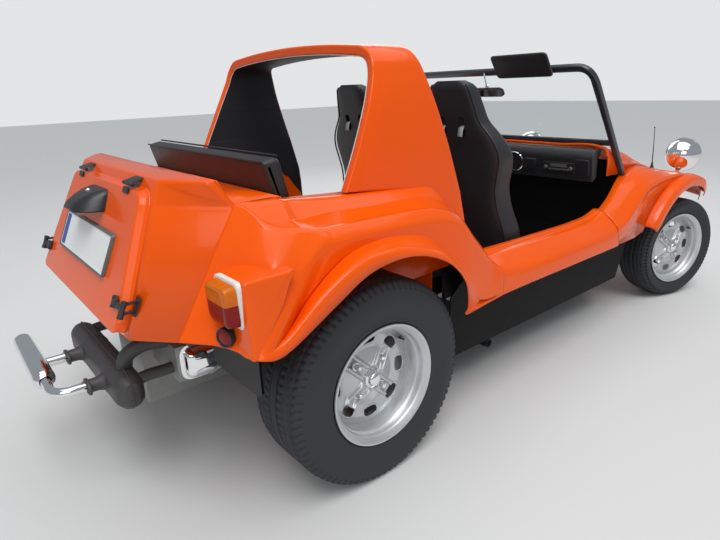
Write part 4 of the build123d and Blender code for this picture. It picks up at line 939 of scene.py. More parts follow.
outer_section = [(1, -0.012, 0.032), (1, -0.001, 0.03), (1, 0, 0.012), (1, -0.006, 0.003), (1, -0.028, 0.0),
                 (0.5, 0, -0.001), (0, 0.052, 0.0), (0, 0.046, 0.0008), (0, 0.004, 0.0022), (0, 0, 0.007),
                 (0, 0.002, 0.032), (0, 0.01, 0.037)]
outer_rounding = [0.002, 0.004, 0.006, 0.012, 0.03, 0.003, 0.003, 0.003, 0.003, 0.004]
outer_net = rounded_net(hoop_rows(outer_section), outer_rounding, 4)
piece("hoop_skin", [outer_net], orange, node="roll_hoop", crease=42, flip=True)
lining_net = np.array(hoop_rows([(0, 0.004, 0.0355), (0, 0.016, 0.0385), (0.5, 0, 0.039), (1, -0.016, 0.0385),
                                 (1, -0.004, 0.0315)]))
piece("hoop_lining", [lining_net], lining, flip=True)
edge_trim = hoop_rows([(0, 0.005, 0.0362)])[0]
piece("hoop_edge", [tube(edge_trim, 0.0014, 6)], gasket_white)
print("hoop net", outer_net.shape)

# %% [markdown]
# ## The sills
#
# There are no doors. Between the hoop and the front wing runs a broad sill: a flat inner strip, a
# shallow groove for a cover, and a smooth face that slopes to the lower edge. Six cross-sections and
# smooth rows between them are enough, because the form changes only near its two ends.

# %% Sills
SILL_INNER_Y = 0.606
# columns: x, inner strip z, crease y, crease z, bottom y, bottom z
SILL = [
    (0.612, 0.645, 0.752, 0.600, 0.762, 0.500),
    (0.740, 0.641, 0.755, 0.578, 0.760, 0.500),
    (1.100, 0.634, 0.755, 0.572, 0.760, 0.500),
    (1.360, 0.634, 0.754, 0.570, 0.759, 0.499),
    (1.460, 0.640, 0.752, 0.574, 0.758, 0.498),
    (1.548, 0.662, 0.750, 0.580, 0.756, 0.497),
]
# how deep the groove is at each section, as a share
GROOVE = [1.0, 1.0, 1.0, 1.0, 0.8, 0.15]
SILL_ROUNDING = [0.008, 0.003, 0.002, 0.004, 0.02, 0.035, 0.006, 0.004]
sill_stations = []
for (x, z, cy, cz, by, bz), g in zip(SILL, GROOVE):
    sill_stations.append([
        (x, SILL_INNER_Y, z - 0.09), (x, SILL_INNER_Y, z), (x, 0.638, z + 0.001), (x, 0.644, z - 0.01 * g),
        (x, 0.657, z - 0.011 * g), (x, 0.668, z - 0.008 - 0.005 * g), (x, cy, cz), (x, by, bz),
        (x, by - 0.01, bz - 0.008), (x, 0.70, bz - 0.01)])
sill_net = net_from_stations(sill_stations, walk(sill_stations), SILL_ROUNDING, 61, 5)
for word, sign in SIDES:
    piece(f"sill_shell_{word}", [sill_net * (1, sign, 1)], orange, node=f"sill_{word}",
          wall=SHELL, flip=sign < 0)
print("sill net", sill_net.shape)

# %% [markdown]
# ## Front wings
#
# The front wing is a smooth hump from the windscreen's foot over the wheel to the lamp. Its lower
# edge is cut by the wheel arch, and a wide flare with a crisp upper line is laid round that cut. The
# hump is one net whose last row follows the arch, and the flare is a second net along the arch.

# %% Front wings
# columns: x, inner y, inner z, top y, top z, crease y, crease z, low z
WING = [
    (1.545, 0.636, 0.662, 0.700, 0.632, 0.750, 0.580, 0.497),
    (1.640, 0.626, 0.706, 0.694, 0.672, 0.748, 0.604, 0.495),
    (1.734, 0.612, 0.766, 0.686, 0.730, 0.742, 0.656, 0.492),
    (1.850, 0.584, 0.798, 0.672, 0.790, 0.735, 0.722, 0.490),
    (1.967, 0.575, 0.822, 0.660, 0.806, 0.730, 0.746, 0.488),
    (2.140, 0.560, 0.800, 0.640, 0.790, 0.726, 0.756, 0.488),
    (2.300, 0.545, 0.766, 0.630, 0.764, 0.724, 0.752, 0.488),
    (2.480, 0.528, 0.724, 0.620, 0.728, 0.722, 0.718, 0.488),
    (2.600, 0.500, 0.688, 0.600, 0.690, 0.720, 0.668, 0.488),
    (2.700, 0.470, 0.638, 0.570, 0.632, 0.700, 0.600, 0.560),
    (2.745, 0.450, 0.598, 0.560, 0.585, 0.680, 0.560, 0.540),
]
FRONT_ARCH_X, FRONT_ARCH_Z, FRONT_ARCH_RADIUS = 2.36, 0.20, 0.48
WING_SIDE_Y, WING_MARGIN = 0.712, 0.052
table = np.array(WING)
wing_x = np.unique(np.concatenate([np.linspace(table[0, 0], table[-1, 0], 121), table[:, 0]]))


def wing_row(y_column, z_column):
    """One row of the wing as a smooth line through its table columns."""
    x, y, z = along(table[:, [0, y_column, z_column]], table[:, 0], 481).T
    return np.column_stack([wing_x, np.interp(wing_x, x, y), np.interp(wing_x, x, z)])


inner_row, top_row, crease_row = wing_row(1, 2), wing_row(3, 4), wing_row(5, 6)
side_y = np.minimum(WING_SIDE_Y + 0.036 * np.clip((1.90 - wing_x) / 0.2, 0, 1), crease_row[:, 1] - 0.003)
side_row = np.column_stack([wing_x, side_y, crease_row[:, 2] - 0.03])
edge = FRONT_ARCH_RADIUS + WING_MARGIN
circle = FRONT_ARCH_Z + np.sqrt(np.maximum(edge**2 - (wing_x - FRONT_ARCH_X) ** 2, 0.0))
over_arch = np.where(np.abs(wing_x - FRONT_ARCH_X) < edge, circle, 0)
low_z = np.maximum(np.interp(wing_x, table[:, 0], table[:, 7]), over_arch)
low_z = np.minimum(low_z, side_row[:, 2] - 0.004)
low_row = np.column_stack([wing_x, side_y - 0.001, low_z])
wing_net = rounded_net([inner_row, top_row, crease_row, side_row, low_row], [0.045, 0.03, 0.012], 7)
print("wing net", wing_net.shape)

# %% [markdown]
# The flare is widest over the wheel and fades towards both ends of the arch. So its rows have one
# section, and a share between 0 and 1 over the arch's angle says how far they stand out.

# %% Front wing flares
# the flare's rows: y and distance out from the arch, from its root to its lower lip
WING_FLARE = [(0.708, 0.064), (0.716, 0.062), (0.74, 0.056), (0.757, 0.049), (0.766, 0.034), (0.767, 0.002),
              (0.761, -0.004)]
FLARE_ROOT_Y = WING_FLARE[0][0]
# the arch's ends as angles over its middle, to the rear and to the front
FLARE_REAR, FLARE_FRONT = 144, 51
angle = np.radians(np.linspace(FLARE_REAR, FLARE_FRONT, 90))
lift = np.clip((angle - math.radians(FLARE_FRONT)) / 0.30, 0, 1) ** 0.7
lift = np.minimum(lift, np.clip((math.radians(FLARE_REAR) - angle) / 0.10, 0, 1) ** 0.5 * 0.25 + 0.75)
flare_rows = []
for y, out in WING_FLARE:
    radius = FRONT_ARCH_RADIUS + out * (0.55 + 0.45 * lift)
    across = FLARE_ROOT_Y + (y - FLARE_ROOT_Y) * (0.35 + 0.65 * lift)
    flare_rows.append(np.column_stack([
        FRONT_ARCH_X + radius * np.cos(angle), across, FRONT_ARCH_Z + radius * np.sin(angle)]))
flare_net = rounded_net(flare_rows, [0.002, 0.01, 0.01, 0.008, 0.003], 4)
for word, sign in SIDES:
    piece(f"front_wing_{word}", [wing_net * (1, sign, 1), flare_net * (1, sign, 1)], orange,
          node=f"front_fender_{word}", wall=SHELL, flip=sign < 0)
print("flare net", flare_net.shape)

# %% [markdown]
# ## Hood and cowl
#
# The hood is crowned across and falls towards the nose. Each station is an arc between its two
# edges, then a side down to the wing. The cowl is a rolled lip before the windscreen.

# %% Hood
# columns: x, edge y, edge z, crown, foot y, foot z
HOOD = [
    (1.700, 0.576, 0.936, 0.012, 0.579, 0.800),
    (1.850, 0.570, 0.905, 0.026, 0.5817, 0.800),
    (1.967, 0.540, 0.884, 0.028, 0.5747, 0.822),
    (2.140, 0.490, 0.838, 0.030, 0.5597, 0.800),
    (2.300, 0.445, 0.792, 0.032, 0.5447, 0.766),
    (2.480, 0.402, 0.742, 0.034, 0.5277, 0.724),
    (2.600, 0.382, 0.698, 0.034, 0.4997, 0.688),
    (2.700, 0.366, 0.655, 0.032, 0.4697, 0.638),
    (2.745, 0.360, 0.622, 0.030, 0.4497, 0.598),
    (2.800, 0.352, 0.572, 0.024, 0.400, 0.552),
    (2.840, 0.340, 0.500, 0.014, 0.356, 0.492),
    (2.845, 0.330, 0.440, 0.010, 0.338, 0.430),
]
hood_table = np.array(HOOD)
knots = np.concatenate([[0], np.cumsum(np.linalg.norm(np.diff(hood_table[:, [0, 2]], axis=0), axis=1))])
x, edge_y, edge_z, crown, foot_y, foot_z = along(hood_table, knots, 90).T
hood_rows = [np.column_stack([x, -foot_y, foot_z])]
for s in (-1, -0.86, -0.6, -0.3, 0, 0.3, 0.6, 0.86, 1):
    hood_rows.append(np.column_stack([x, edge_y * s, edge_z + crown * (1 - s * s)]))
hood_rows.append(np.column_stack([x, foot_y, foot_z]))
hood_net = rounded_net(hood_rows, [0.04] + [0.05] * 7 + [0.04], 5)
COWL_X = 1.699
COWL_HALF = [(0.574, 0.90), (0.573, 0.922), (0.566, 0.934), (0.55, 0.939), (0.30, 0.944)]
cowl_line = [(-y, z) for y, z in COWL_HALF] + [(0, 0.9465)] + COWL_HALF[::-1]
cowl = smooth_line([(COWL_X, y, z) for y, z in cowl_line], 90)
piece("hood_shell", [hood_net], orange, node="hood_nose", wall=SHELL, flip=True)
piece("cowl_lip", [tube(cowl, 0.0085, 12)], orange)
print("upper body made")

# %% [markdown]
# ## Rims
#
# The wheels are deep steel rims in silver with eight slots. Four pairs of raised ribs reach from the
# hub to the slots, a nut sits between each pair, and a round cap closes the hub. The turned parts
# are profiles. The disc is a net in radius and angle, whose ribs and dents are heights added by
# formula, and whose faces are left out at the slots.

# %% Wheels' places and sizes
RIM_RADIUS, BEAD_RADIUS = 0.209, 0.192
REAR_LIP_Y = 0.769
WHEELBASE, KINGPIN_Y, KINGPIN_TO_LIP, FRONT_WHEEL_Z = 2.44, 0.56, 0.17, 0.295
PARKED_STEER = math.radians(-16)
# rim width, inset of the disc, tyre radius, tyre width, blocks of the tread
REAR_SIZES = (0.24, 0.092, 0.355, 0.25, 84)
FRONT_SIZES = (0.17, 0.062, 0.295, 0.198, 78)
# each wheel: name, body, centre of the rim's outer lip, axle direction and its sizes
WHEELS = []
for word, sign in SIDES:
    rear_lip = np.array((0, sign * REAR_LIP_Y, REAR_WHEEL_Z))
    WHEELS.append((f"rear_{word}", f"wheel_rear_{word[0]}", rear_lip, np.array((0.0, sign, 0.0)),
                   *REAR_SIZES))
    axle = np.array((-math.sin(PARKED_STEER), math.cos(PARKED_STEER), 0.0))
    front_lip = np.array((WHEELBASE, sign * KINGPIN_Y, FRONT_WHEEL_Z)) + sign * KINGPIN_TO_LIP * axle
    WHEELS.append((f"front_{word}", f"wheel_front_{word[0]}", front_lip, sign * axle, *FRONT_SIZES))


def wheel_axes(out):
    """Two directions across an axle, the first as level as it can be."""
    ahead = np.cross((0, 0, 1), out)
    ahead = ahead / np.linalg.norm(ahead)
    return ahead, np.cross(out, ahead)


print(len(WHEELS), "wheels")

# %% Rims
SLOTS, NUTS = 8, 4
SLOT_CIRCLE, SLOT_DEEP, SLOT_WIDE = 0.137, 0.0165, 0.0275
NUT_CIRCLE, DENT_DEPTH, DENT_HALF_LONG, DENT_HALF_WIDE = 0.074, 0.01, 0.026, 0.013
ARM_OFFSET, ARM_HALF, ARM_RISE = 0.021, 0.0065, 0.0115
SLOT_LIP = 0.0032
# the disc's face without arms and dents: radius and height
DISC_PROFILE = [(0, 0.014), (0.03, 0.014), (0.056, 0.013), (0.104, -0.004), (0.146, 0.006), (0.176, -0.002),
                (0.186, -0.008)]


def from_slot(turn):
    """The angle from the middle of the nearest slot."""
    pitch = 2 * math.pi / SLOTS
    return (turn + pitch / 2) % pitch - pitch / 2


def disc_height(r, turn):
    """The disc's face over radius and angle: a dished floor, arm pairs, nut dents and a rim of the slots."""
    base = np.interp(r, *np.array(DISC_PROFILE).T)
    quarter = 2 * math.pi / NUTS
    across = r * np.sin(turn % quarter - quarter / 2)
    arm = np.exp(-((np.abs(across) - ARM_OFFSET) / ARM_HALF) ** 4)
    arm = arm * np.clip((r - 0.036) / 0.01, 0, 1) * np.clip((0.128 - r) / 0.012, 0, 1)
    dent = np.exp(-(((r - NUT_CIRCLE) / DENT_HALF_LONG) ** 4 + (across / DENT_HALF_WIDE) ** 4))
    from_edge = np.hypot((r - SLOT_CIRCLE) / 0.019, (r * from_slot(turn)) / 0.032) - 1.0
    lip = np.exp(-(from_edge / 0.14) ** 2)
    return base + ARM_RISE * arm - DENT_DEPTH * dent + SLOT_LIP * lip


def barrel_profile(width, inset):
    """Radius and distance behind the outer lip, from the lip's inside round it and down to the inner lip."""
    r, b = RIM_RADIUS, BEAD_RADIUS
    outer = [(b - 0.004, -0.016), (b + 0.001, -0.01), (b + 0.01, -0.0065), (r - 0.0005, -0.006),
             (r + 0.0005, -0.003), (r - 0.001, 0.0), (r - 0.005, 0.0002), (r - 0.0085, -0.002),
             (b - 0.0005, -0.0115), (b - 0.0045, -0.0145), (b - 0.0075, -0.02), (b - 0.008, -0.034),
             (b - 0.012, -0.0385), (b - 0.015, -0.042), (b - 0.0155, -inset + 0.01)]
    inner = [(b - 0.0175, -inset - 0.004), (b - 0.0175, -width + 0.04), (b - 0.009, -width + 0.014),
             (r - 0.004, -width + 0.001), (r, -width), (r, -width + 0.006), (b + 0.002, -width + 0.012),
             (b - 0.002, -width + 0.03)]
    return outer + inner


def wheel_rim_nets(centre, out, width, inset):
    """The barrel and the disc of one rim, about the axle that leaves through its outer lip."""
    ahead, up = wheel_axes(out)
    barrel = turned(barrel_profile(width, inset), centre, out, 96, start=ahead)
    radius = np.concatenate([
        np.linspace(0.03, 0.112, 34), np.linspace(0.1155, 0.1585, 13), np.linspace(0.162, 0.177, 5)])
    turn = np.linspace(0, 2 * math.pi, 336, endpoint=False)
    rr, tt = np.meshgrid(radius, turn, indexing="ij")
    height = disc_height(rr, tt) - inset
    spoke = np.cos(tt)[..., None] * ahead + np.sin(tt)[..., None] * up
    face = centre + rr[..., None] * spoke + height[..., None] * out
    return barrel, (face, False, True)


def outside_slots(centre, out):
    """A test for face centres: true unless the face lies in one of the disc's slots."""
    ahead, up = wheel_axes(out)

    def keep(places):
        local = places - centre
        a, u = local @ ahead, local @ up
        r = np.hypot(a, u)
        near = from_slot(np.arctan2(u, a))
        return ((r - SLOT_CIRCLE) / SLOT_DEEP) ** 4 + (r * near / SLOT_WIDE) ** 4 > 1

    return keep


print("slots", SLOTS, "nuts", NUTS)


# %% [markdown]
# ## Tyres
#
# A tyre is a turned shape, and its tread is a height on that shape: six grooves run round it, and
# cross grooves cut the shoulders into blocks. Separate blocks on a drum would be another way, but
# here height falls smoothly into each groove, so one grid serves the sidewall and the tread.

# %% Tyres
GROOVE_DEPTH, GROOVE_HALF, SHOULDER_DEPTH, RIB_DEPTH = 0.0075, 0.0032, 0.0045, 0.004
TREAD_STEP, TREAD_ROUNDING, POINTS_PER_BLOCK = 0.0048, 0.016, 6


def tyre_profile(width, tyre_radius, tyre_width):
    """Radius and side distance from one bead over the tread to the other bead, in short steps."""
    half = tyre_width / 2
    bead = width / 2 - 0.0142
    side_r = RIM_RADIUS + (tyre_radius - RIM_RADIUS) * 0.50
    outline = [(BEAD_RADIUS + 0.0008, bead - 0.01), (RIM_RADIUS + 0.0015, bead + 0.0055),
               (RIM_RADIUS + 0.008, bead + 0.012), (RIM_RADIUS + 0.02, half - 0.01),
               (side_r, half - 0.0005), (side_r + 0.018, half - 0.001), (tyre_radius - 0.026, half - 0.0055),
               (tyre_radius - 0.01, half - 0.0125), (tyre_radius - 0.0035, half - 0.024),
               (tyre_radius, half - 0.05), (tyre_radius, 0.0)]
    full = outline + [(r, -h) for r, h in outline[-2::-1]]
    return resampled(rounded_net([[p] for p in full], [TREAD_ROUNDING] * (len(full) - 2), 4)[:, 0],
                     TREAD_STEP)


def tyre_net(centre, out, width, tyre_radius, tyre_width, blocks):
    """The tyre's skin over angle and a profile line, with grooves pressed in towards the axle."""
    ahead, up = wheel_axes(out)
    half = tyre_width / 2
    turn = np.linspace(0, 2 * math.pi, blocks * POINTS_PER_BLOCK, endpoint=False)
    r, h = tyre_profile(width, tyre_radius, tyre_width).T
    across = np.abs(h)
    wall = np.clip((r - (tyre_radius - 0.03)) / 0.006, 0, 1)
    ring = np.zeros_like(r)
    for place in (0.018, half * 0.44, half * 0.70):
        ring = np.maximum(ring, np.exp(-((across - place) / GROOVE_HALF) ** 4))
    phase = (turn[None, :] * blocks / (2 * math.pi) + np.sign(h)[:, None] * 0.25
             + across[:, None] * 9.0) % 1.0
    cross = np.exp(-((phase - 0.5) / 0.17) ** 4)
    shoulder = np.clip((across - half * 0.56) / 0.01, 0, 1)[:, None] * wall[:, None]
    rib = (np.clip((half * 0.40 - across) / 0.006, 0, 1) * np.clip((across - 0.022) / 0.004, 0, 1))[:, None]
    sunk = np.maximum(ring[:, None] * wall[:, None] * GROOVE_DEPTH,
                      cross * (SHOULDER_DEPTH * shoulder + RIB_DEPTH * rib))
    radius = r[:, None] - sunk
    inward_shift = -np.sign(h)[:, None] * sunk * np.clip((across - (half - 0.02)) / 0.01, 0, 1)[:, None]
    place = (centre - out * width / 2)[None, None] + (h[:, None] + inward_shift)[..., None] * out
    spoke = np.cos(turn)[None, :, None] * ahead + np.sin(turn)[None, :, None] * up
    return place + radius[..., None] * spoke, False, True


print("grooves", GROOVE_DEPTH * 1000, "mm deep")

# %% [markdown]
# Each wheel is put together from its rim, a cap with four nuts, the brake drum that shows through
# the slots, the tyre and a valve. All of them ride on the wheel's own body, so they turn with it.

# %% Wheels put together
# radius and height over the disc
CAP_TOP, CAP_RADIUS, CAP_DOME = 0.034, 0.0245, 0.012
CAP_SIDE = [(0.026, 0.03), (0.0335, 0.026), (0.036, 0.02), (0.0365, 0.01)]
NUT = [(0, 0.0235), (0.006, 0.023), (0.0085, 0.02), (0.01, 0.0165), (0.0105, 0.002)]
WASHER = [(0.0106, 0.0055), (0.014, 0.005), (0.0145, -0.002)]
DRUM = [(0.0, -0.012), (0.118, -0.012), (0.121, -0.016), (0.121, -0.04), (0.0, -0.04)]
VALVE = [(0, 0.026), (0.0025, 0.0255), (0.0032, 0.023), (0.0032, 0.012), (0.005, 0.01), (0.005, 0)]
VALVE_CIRCLE, VALVE_TURN = 0.17, 0.6


def set_back(profile, inset):
    """A profile over the disc, measured from the rim's outer lip instead."""
    return [(r, h - inset) for r, h in profile]


dome = [(CAP_RADIUS * math.sin(a), CAP_TOP + CAP_DOME * math.cos(a)) for a in np.linspace(0, math.pi / 2, 7)]
for name, body, centre, out, width, inset, tyre_radius, tyre_width, blocks in WHEELS:
    ahead, up = wheel_axes(out)
    barrel, disc = wheel_rim_nets(centre, out, width, inset)
    piece(f"rim_barrel_{name}", [barrel], silver, body=body, node=f"rim_{name}", crease=50, flip=True)
    piece(f"rim_disc_{name}", [disc], silver, body=body, wall=0.004, crease=60,
          keep=outside_slots(centre, out), flip=True)
    hub = [turned(set_back(dome + CAP_SIDE, inset), centre, out, 40, start=ahead)]
    for i in range(NUTS):
        a = (i + 0.5) * 2 * math.pi / NUTS
        spot = centre + NUT_CIRCLE * (math.cos(a) * ahead + math.sin(a) * up)
        hub.append(turned(set_back(NUT, inset), spot, out, 6, start=ahead))
        hub.append(turned(set_back(WASHER, inset), spot, out, 20, start=ahead))
    piece(f"hub_cap_{name}", hub, chrome, body=body, crease=28)
    piece(f"brake_drum_{name}", [turned(set_back(DRUM, inset), centre, out, 48, start=ahead)], chassis_black,
          body=body, crease=40)
    piece(f"tyre_skin_{name}", [tyre_net(centre, out, width, tyre_radius, tyre_width, blocks)], rubber,
          body=body, node=f"tyre_{name}", crease=52, flip=True)
    stem = centre + VALVE_CIRCLE * (math.cos(VALVE_TURN) * ahead + math.sin(VALVE_TURN) * up)
    stem = stem - out * (inset - 0.004)
    piece(f"valve_{name}", [turned(VALVE, stem, out, 12)], soft_rubber, body=body)
print("wheels made")

# %% [markdown]
# ## Bucket seats
#
# A bucket seat is a padded shell: rings that grow and shrink with height give the shoulders and the
# neck, and a dent between the side bolsters gives the front its hollow. The rings are squarish
# ovals, because upholstery pulls flat between its seams. Two belt slots are cut through the back.

# %% Bucket seats
SEAT_Y = 0.33
# height, x of the back face, half width, depth, dent in front
SEAT_ROWS = [
    (0.430, 0.905, 0.210, 0.130, 0.010), (0.450, 0.903, 0.226, 0.146, 0.020),
    (0.560, 0.885, 0.240, 0.156, 0.032), (0.660, 0.868, 0.234, 0.154, 0.034),
    (0.760, 0.853, 0.205, 0.146, 0.032), (0.840, 0.842, 0.198, 0.143, 0.030),
    (0.920, 0.831, 0.216, 0.142, 0.026), (0.980, 0.822, 0.226, 0.134, 0.020),
    (1.030, 0.812, 0.210, 0.122, 0.012), (1.075, 0.803, 0.180, 0.110, 0.006),
    (1.115, 0.794, 0.146, 0.101, 0.004), (1.190, 0.776, 0.122, 0.092, 0.004),
    (1.240, 0.764, 0.108, 0.086, 0.003), (1.270, 0.758, 0.094, 0.074, 0.0), (1.286, 0.761, 0.064, 0.050, 0.0),
]
SEAT_SQUARE = 0.42
seat_knots = [row[0] for row in SEAT_ROWS]


def seat_ring(z, back, half, depth, dent, around=56):
    """A squarish oval across the seat, hollow in front."""
    angle = np.linspace(0, 2 * math.pi, around, endpoint=False)
    c, s = np.cos(angle), np.sin(angle)
    y = half * np.sign(c) * np.abs(c) ** SEAT_SQUARE
    x = back + depth / 2 + depth / 2 * np.sign(s) * np.abs(s) ** SEAT_SQUARE
    hollow = dent * np.clip(1 - (y / (0.72 * half)) ** 2, 0, 1) ** 1.5
    return np.column_stack([x - hollow * (s > 0), y, np.full(around, z)])


seat_rows = along(SEAT_ROWS, seat_knots, 61)
seat_back = ring_stack([seat_ring(*row) for row in seat_rows])
CUSHION_STATIONS = [(0.925, 0.90, 0.80), (0.935, 0.96, 0.95), (0.97, 1.0, 1.0), (1.15, 1.0, 1.0),
                    (1.32, 1.0, 0.97), (1.375, 0.98, 0.88), (1.396, 0.94, 0.70), (1.402, 0.88, 0.50)]


def cushion_ring(x, wide, tall):
    """The cushion's section: flat below, bolsters at the sides and a low crowned middle."""
    corners = [(-0.246, 0.395), (0.246, 0.395), (0.254, 0.556), (0.206, 0.566), (0.158, 0.494), (0.0, 0.506),
               (-0.158, 0.494), (-0.206, 0.566), (-0.254, 0.556)]
    places = [(x, y * wide, 0.395 + (z - 0.395) * tall) for y, z in corners]
    return loop(places, [0.03, 0.03, 0.03, 0.03, 0.05, 0.10, 0.05, 0.03, 0.03], 7)


cushion = ring_stack([cushion_ring(*row) for row in CUSHION_STATIONS])
print("seat net", seat_back[0].shape, "cushion net", cushion[0].shape)

# %% [markdown]
# The belt slots are cut with a Boolean, because they pass through padding that is curved on both
# faces. The modifier is applied at once, so the seat stays one plain mesh. Piping follows the
# shell's side edges, and a short loop of webbing lies through each slot.

# %% Belt slots, piping, rails and belt loops
SLOT_Y, SLOT_HALF, SLOT_LOW, SLOT_HIGH = 0.052, 0.017, 1.06, 1.14
RAIL_Y, RAIL_WIDTH, PIPING = 0.17, 0.024, 0.0042
SEAT_RAIL = rectangle(0.95, 1.35, 0.211, 0.398)
# the belt loop's side view, over the front of the slot, through it and down behind, and half its width
BELT_LOOP = [(0.901, 1.072), (0.872, 1.098), (0.828, 1.108), (0.796, 1.098), (0.786, 1.06)]
BELT_HALF = 0.013


def cut_slots(made, y):
    """Cuts the two belt slots through the seat back."""
    cutter_mesh = bpy.data.meshes.new("slots")
    points = []
    faces = []
    for side in (-1, 1):
        outline = loop([(0.70, y + side * SLOT_Y + a, b)
                        for a, b in rectangle(-SLOT_HALF, SLOT_HALF, SLOT_LOW, SLOT_HIGH)], 0.015, 6)
        corners, sides = plate(outline, 0.3, (1, 0, 0))
        first = len(points)
        points += [tuple(c) for c in corners + (AXLE_X, 0, 0)]
        faces += [[first + i for i in one] for one in sides]
    cutter_mesh.from_pydata(points, [], faces)
    cutter = bpy.data.objects.new("slots", cutter_mesh)
    scene.collection.objects.link(cutter)
    cut = made.modifiers.new("slots", "BOOLEAN")
    cut.object = cutter
    cut.operation = "DIFFERENCE"
    cut.solver = "EXACT"
    done = bpy.data.meshes.new_from_object(made.evaluated_get(bpy.context.evaluated_depsgraph_get()))
    made.modifiers.clear()
    made.data = done
    bpy.data.objects.remove(cutter)


for word, sign in SIDES:
    y = sign * SEAT_Y
    made = piece(f"seat_shell_{word}", [moved(seat_back, y)], vinyl, node=f"seat_{word}",
                 crease=50, flip=True)
    cut_slots(made, y)
    made = piece(f"seat_cushion_{word}", [moved(cushion, y)], vinyl, crease=50, flip=True)
    pipes = []
    for side in (-1, 1):
        edge = np.column_stack([seat_rows[:, 1] + 0.012, y + side * (seat_rows[:, 2] * 0.985 + 0.0005),
                                seat_rows[:, 0]])
        pipes.append(tube(edge[2:-1], PIPING, 8))
    piece(f"seat_piping_{word}", pipes, trim, flip=True)
    rails = []
    for side in (-1, 1):
        outline = loop([(x, y + side * RAIL_Y - RAIL_WIDTH / 2, z) for x, z in SEAT_RAIL], 0.02, 4)
        rails.append(prism(outline, (0, 1, 0), RAIL_WIDTH, 0.004))
    piece(f"seat_rails_{word}", rails, chassis_black, crease=35)
    belts = []
    for side in (-1, 1):
        path = smooth_line([(x, y + side * SLOT_Y, z) for x, z in BELT_LOOP], 25)
        belts.append(np.stack([path - (0, BELT_HALF, 0), path + (0, BELT_HALF, 0)], 1))
    piece(f"belt_loops_{word}", belts, webbing, wall=0.0016, crease=60)
print("seats made")

# %% [markdown]
# ## The rear bench
#
# A flat cushion lies in the well and a long pad leans over its rear edge. The pad is seen from
# behind, so it gets a covered board, a welt on its top edge and rounded ends.

# %% Rear bench
BENCH_HALF, BENCH_REAR, BENCH_FRONT = 0.486, -0.056, 0.476
BENCH_MIDDLE = np.array((0.21, 0, 0))


def bench_loop(z, share):
    """The cushion's plan outline at a height, drawn in towards its middle."""
    ring = loop([(x, y, 0) for x, y in rectangle(BENCH_REAR, BENCH_FRONT, -BENCH_HALF, BENCH_HALF)], 0.05, 8)
    return BENCH_MIDDLE + (ring - BENCH_MIDDLE) * share + (0, 0, z)


# height and share of the outline, from the foot up over the crown
BENCH_RINGS = [(0.5605, 0.995), (0.566, 1.0), (0.64, 1.0), (0.654, 0.99), (0.663, 0.965), (0.668, 0.92),
               (0.67, 0.80)]
bench_net = ring_stack([bench_loop(z, share) for z, share in BENCH_RINGS])
bench_piece = piece("bench_cushion", [bench_net], vinyl, node="rear_bench", crease=50)
PAD_SIDE = [(-0.094, 0.58), (-0.038, 0.594), (-0.16, 1.086), (-0.221, 1.073)]
pad_side = loop([(x, -BENCH_HALF, z) for x, z in PAD_SIDE], [0.014, 0.02, 0.024, 0.012], 8)
pad_piece = piece("bench_pad", [prism(pad_side, (0, 1, 0), 2 * BENCH_HALF, 0.02, 7)], vinyl,
                  crease=50, flip=True)
welts = []
for height, back in ((1.0735, -0.2215), (1.0865, -0.163)):
    path = smooth_line([(back, y, height) for y in np.linspace(-BENCH_HALF + 0.012, BENCH_HALF - 0.012, 9)],
                       30)
    welts.append(tube(path, 0.0032, 8))
piece("bench_welts", welts, trim, flip=True)
print("bench made")

# %% [markdown]
# ## The windscreen
#
# A flat pane stands in a rounded frame that leans back. The frame is one band swept round three
# sides with a rounded box section, and a slimmer rail closes it below. Places on the screen are
# given across and up its plane.

# %% Windscreen
SCREEN_ORIGIN = np.array((1.842, 0, 0.785))
SCREEN_UP = np.array((-0.5896, 0, 0.8077))
SCREEN_OUT = np.array((0.8077, 0, 0.5896))
SCREEN_HALF, SCREEN_TOP, SCREEN_TAPER = 0.612, 0.6847, 0.014
RAIL_UP = 0.22


def on_screen(y, up, out=0.0):
    """A point across and up the screen's plane, that far in front of it."""
    y, up, out = np.broadcast_arrays(np.asarray(y, float), up, out)
    place = SCREEN_ORIGIN + y[..., None] * np.array((0, 1, 0)) + up[..., None] * SCREEN_UP
    return place + out[..., None] * SCREEN_OUT


def band(path, normal, width, depth, corner, steps=4):
    """A rounded box section swept along a flat path: width lies across the path in its plane."""
    p = np.asarray(path, float)
    n = np.asarray(normal, float)
    across = np.cross(n, np.gradient(p, axis=0))
    across /= np.linalg.norm(across, axis=1, keepdims=True)
    w, d = width / 2, depth / 2
    section = loop([(a, b, 0) for a, b in rectangle(-w, w, -d, d)], corner, steps)
    rings = [place + section[:, :1] * side + section[:, 1:2] * n for place, side in zip(p, across)]
    return ring_stack(rings)


def screen_path(inset, foot, radius, steps=12):
    """Up one leg, round the corners and down the other leg, as points on the screen's plane."""
    low, high = SCREEN_HALF - inset, SCREEN_HALF - SCREEN_TAPER - inset
    top = SCREEN_TOP - inset
    right = [(-low, foot), (-high, top)]
    leg = np.linspace(0, 1, 14)[:, None]
    a = np.array(right[0]) * (1 - leg) + np.array(right[1]) * leg
    a = a[a[:, 1] < top - radius]
    turn = np.linspace(0, 1, steps)[1:-1, None]
    start, corner, end = a[-1:], np.array([right[1]]), np.array([(-high + radius, top)])
    arc = (1 - turn) ** 2 * start + 2 * turn * (1 - turn) * corner + turn ** 2 * end
    half = np.vstack([a, arc, end])
    bar = np.column_stack([np.linspace(-high + radius, high - radius, 20)[1:-1], np.full(18, top)])
    return np.vstack([half, bar, half[::-1] * (-1, 1)])


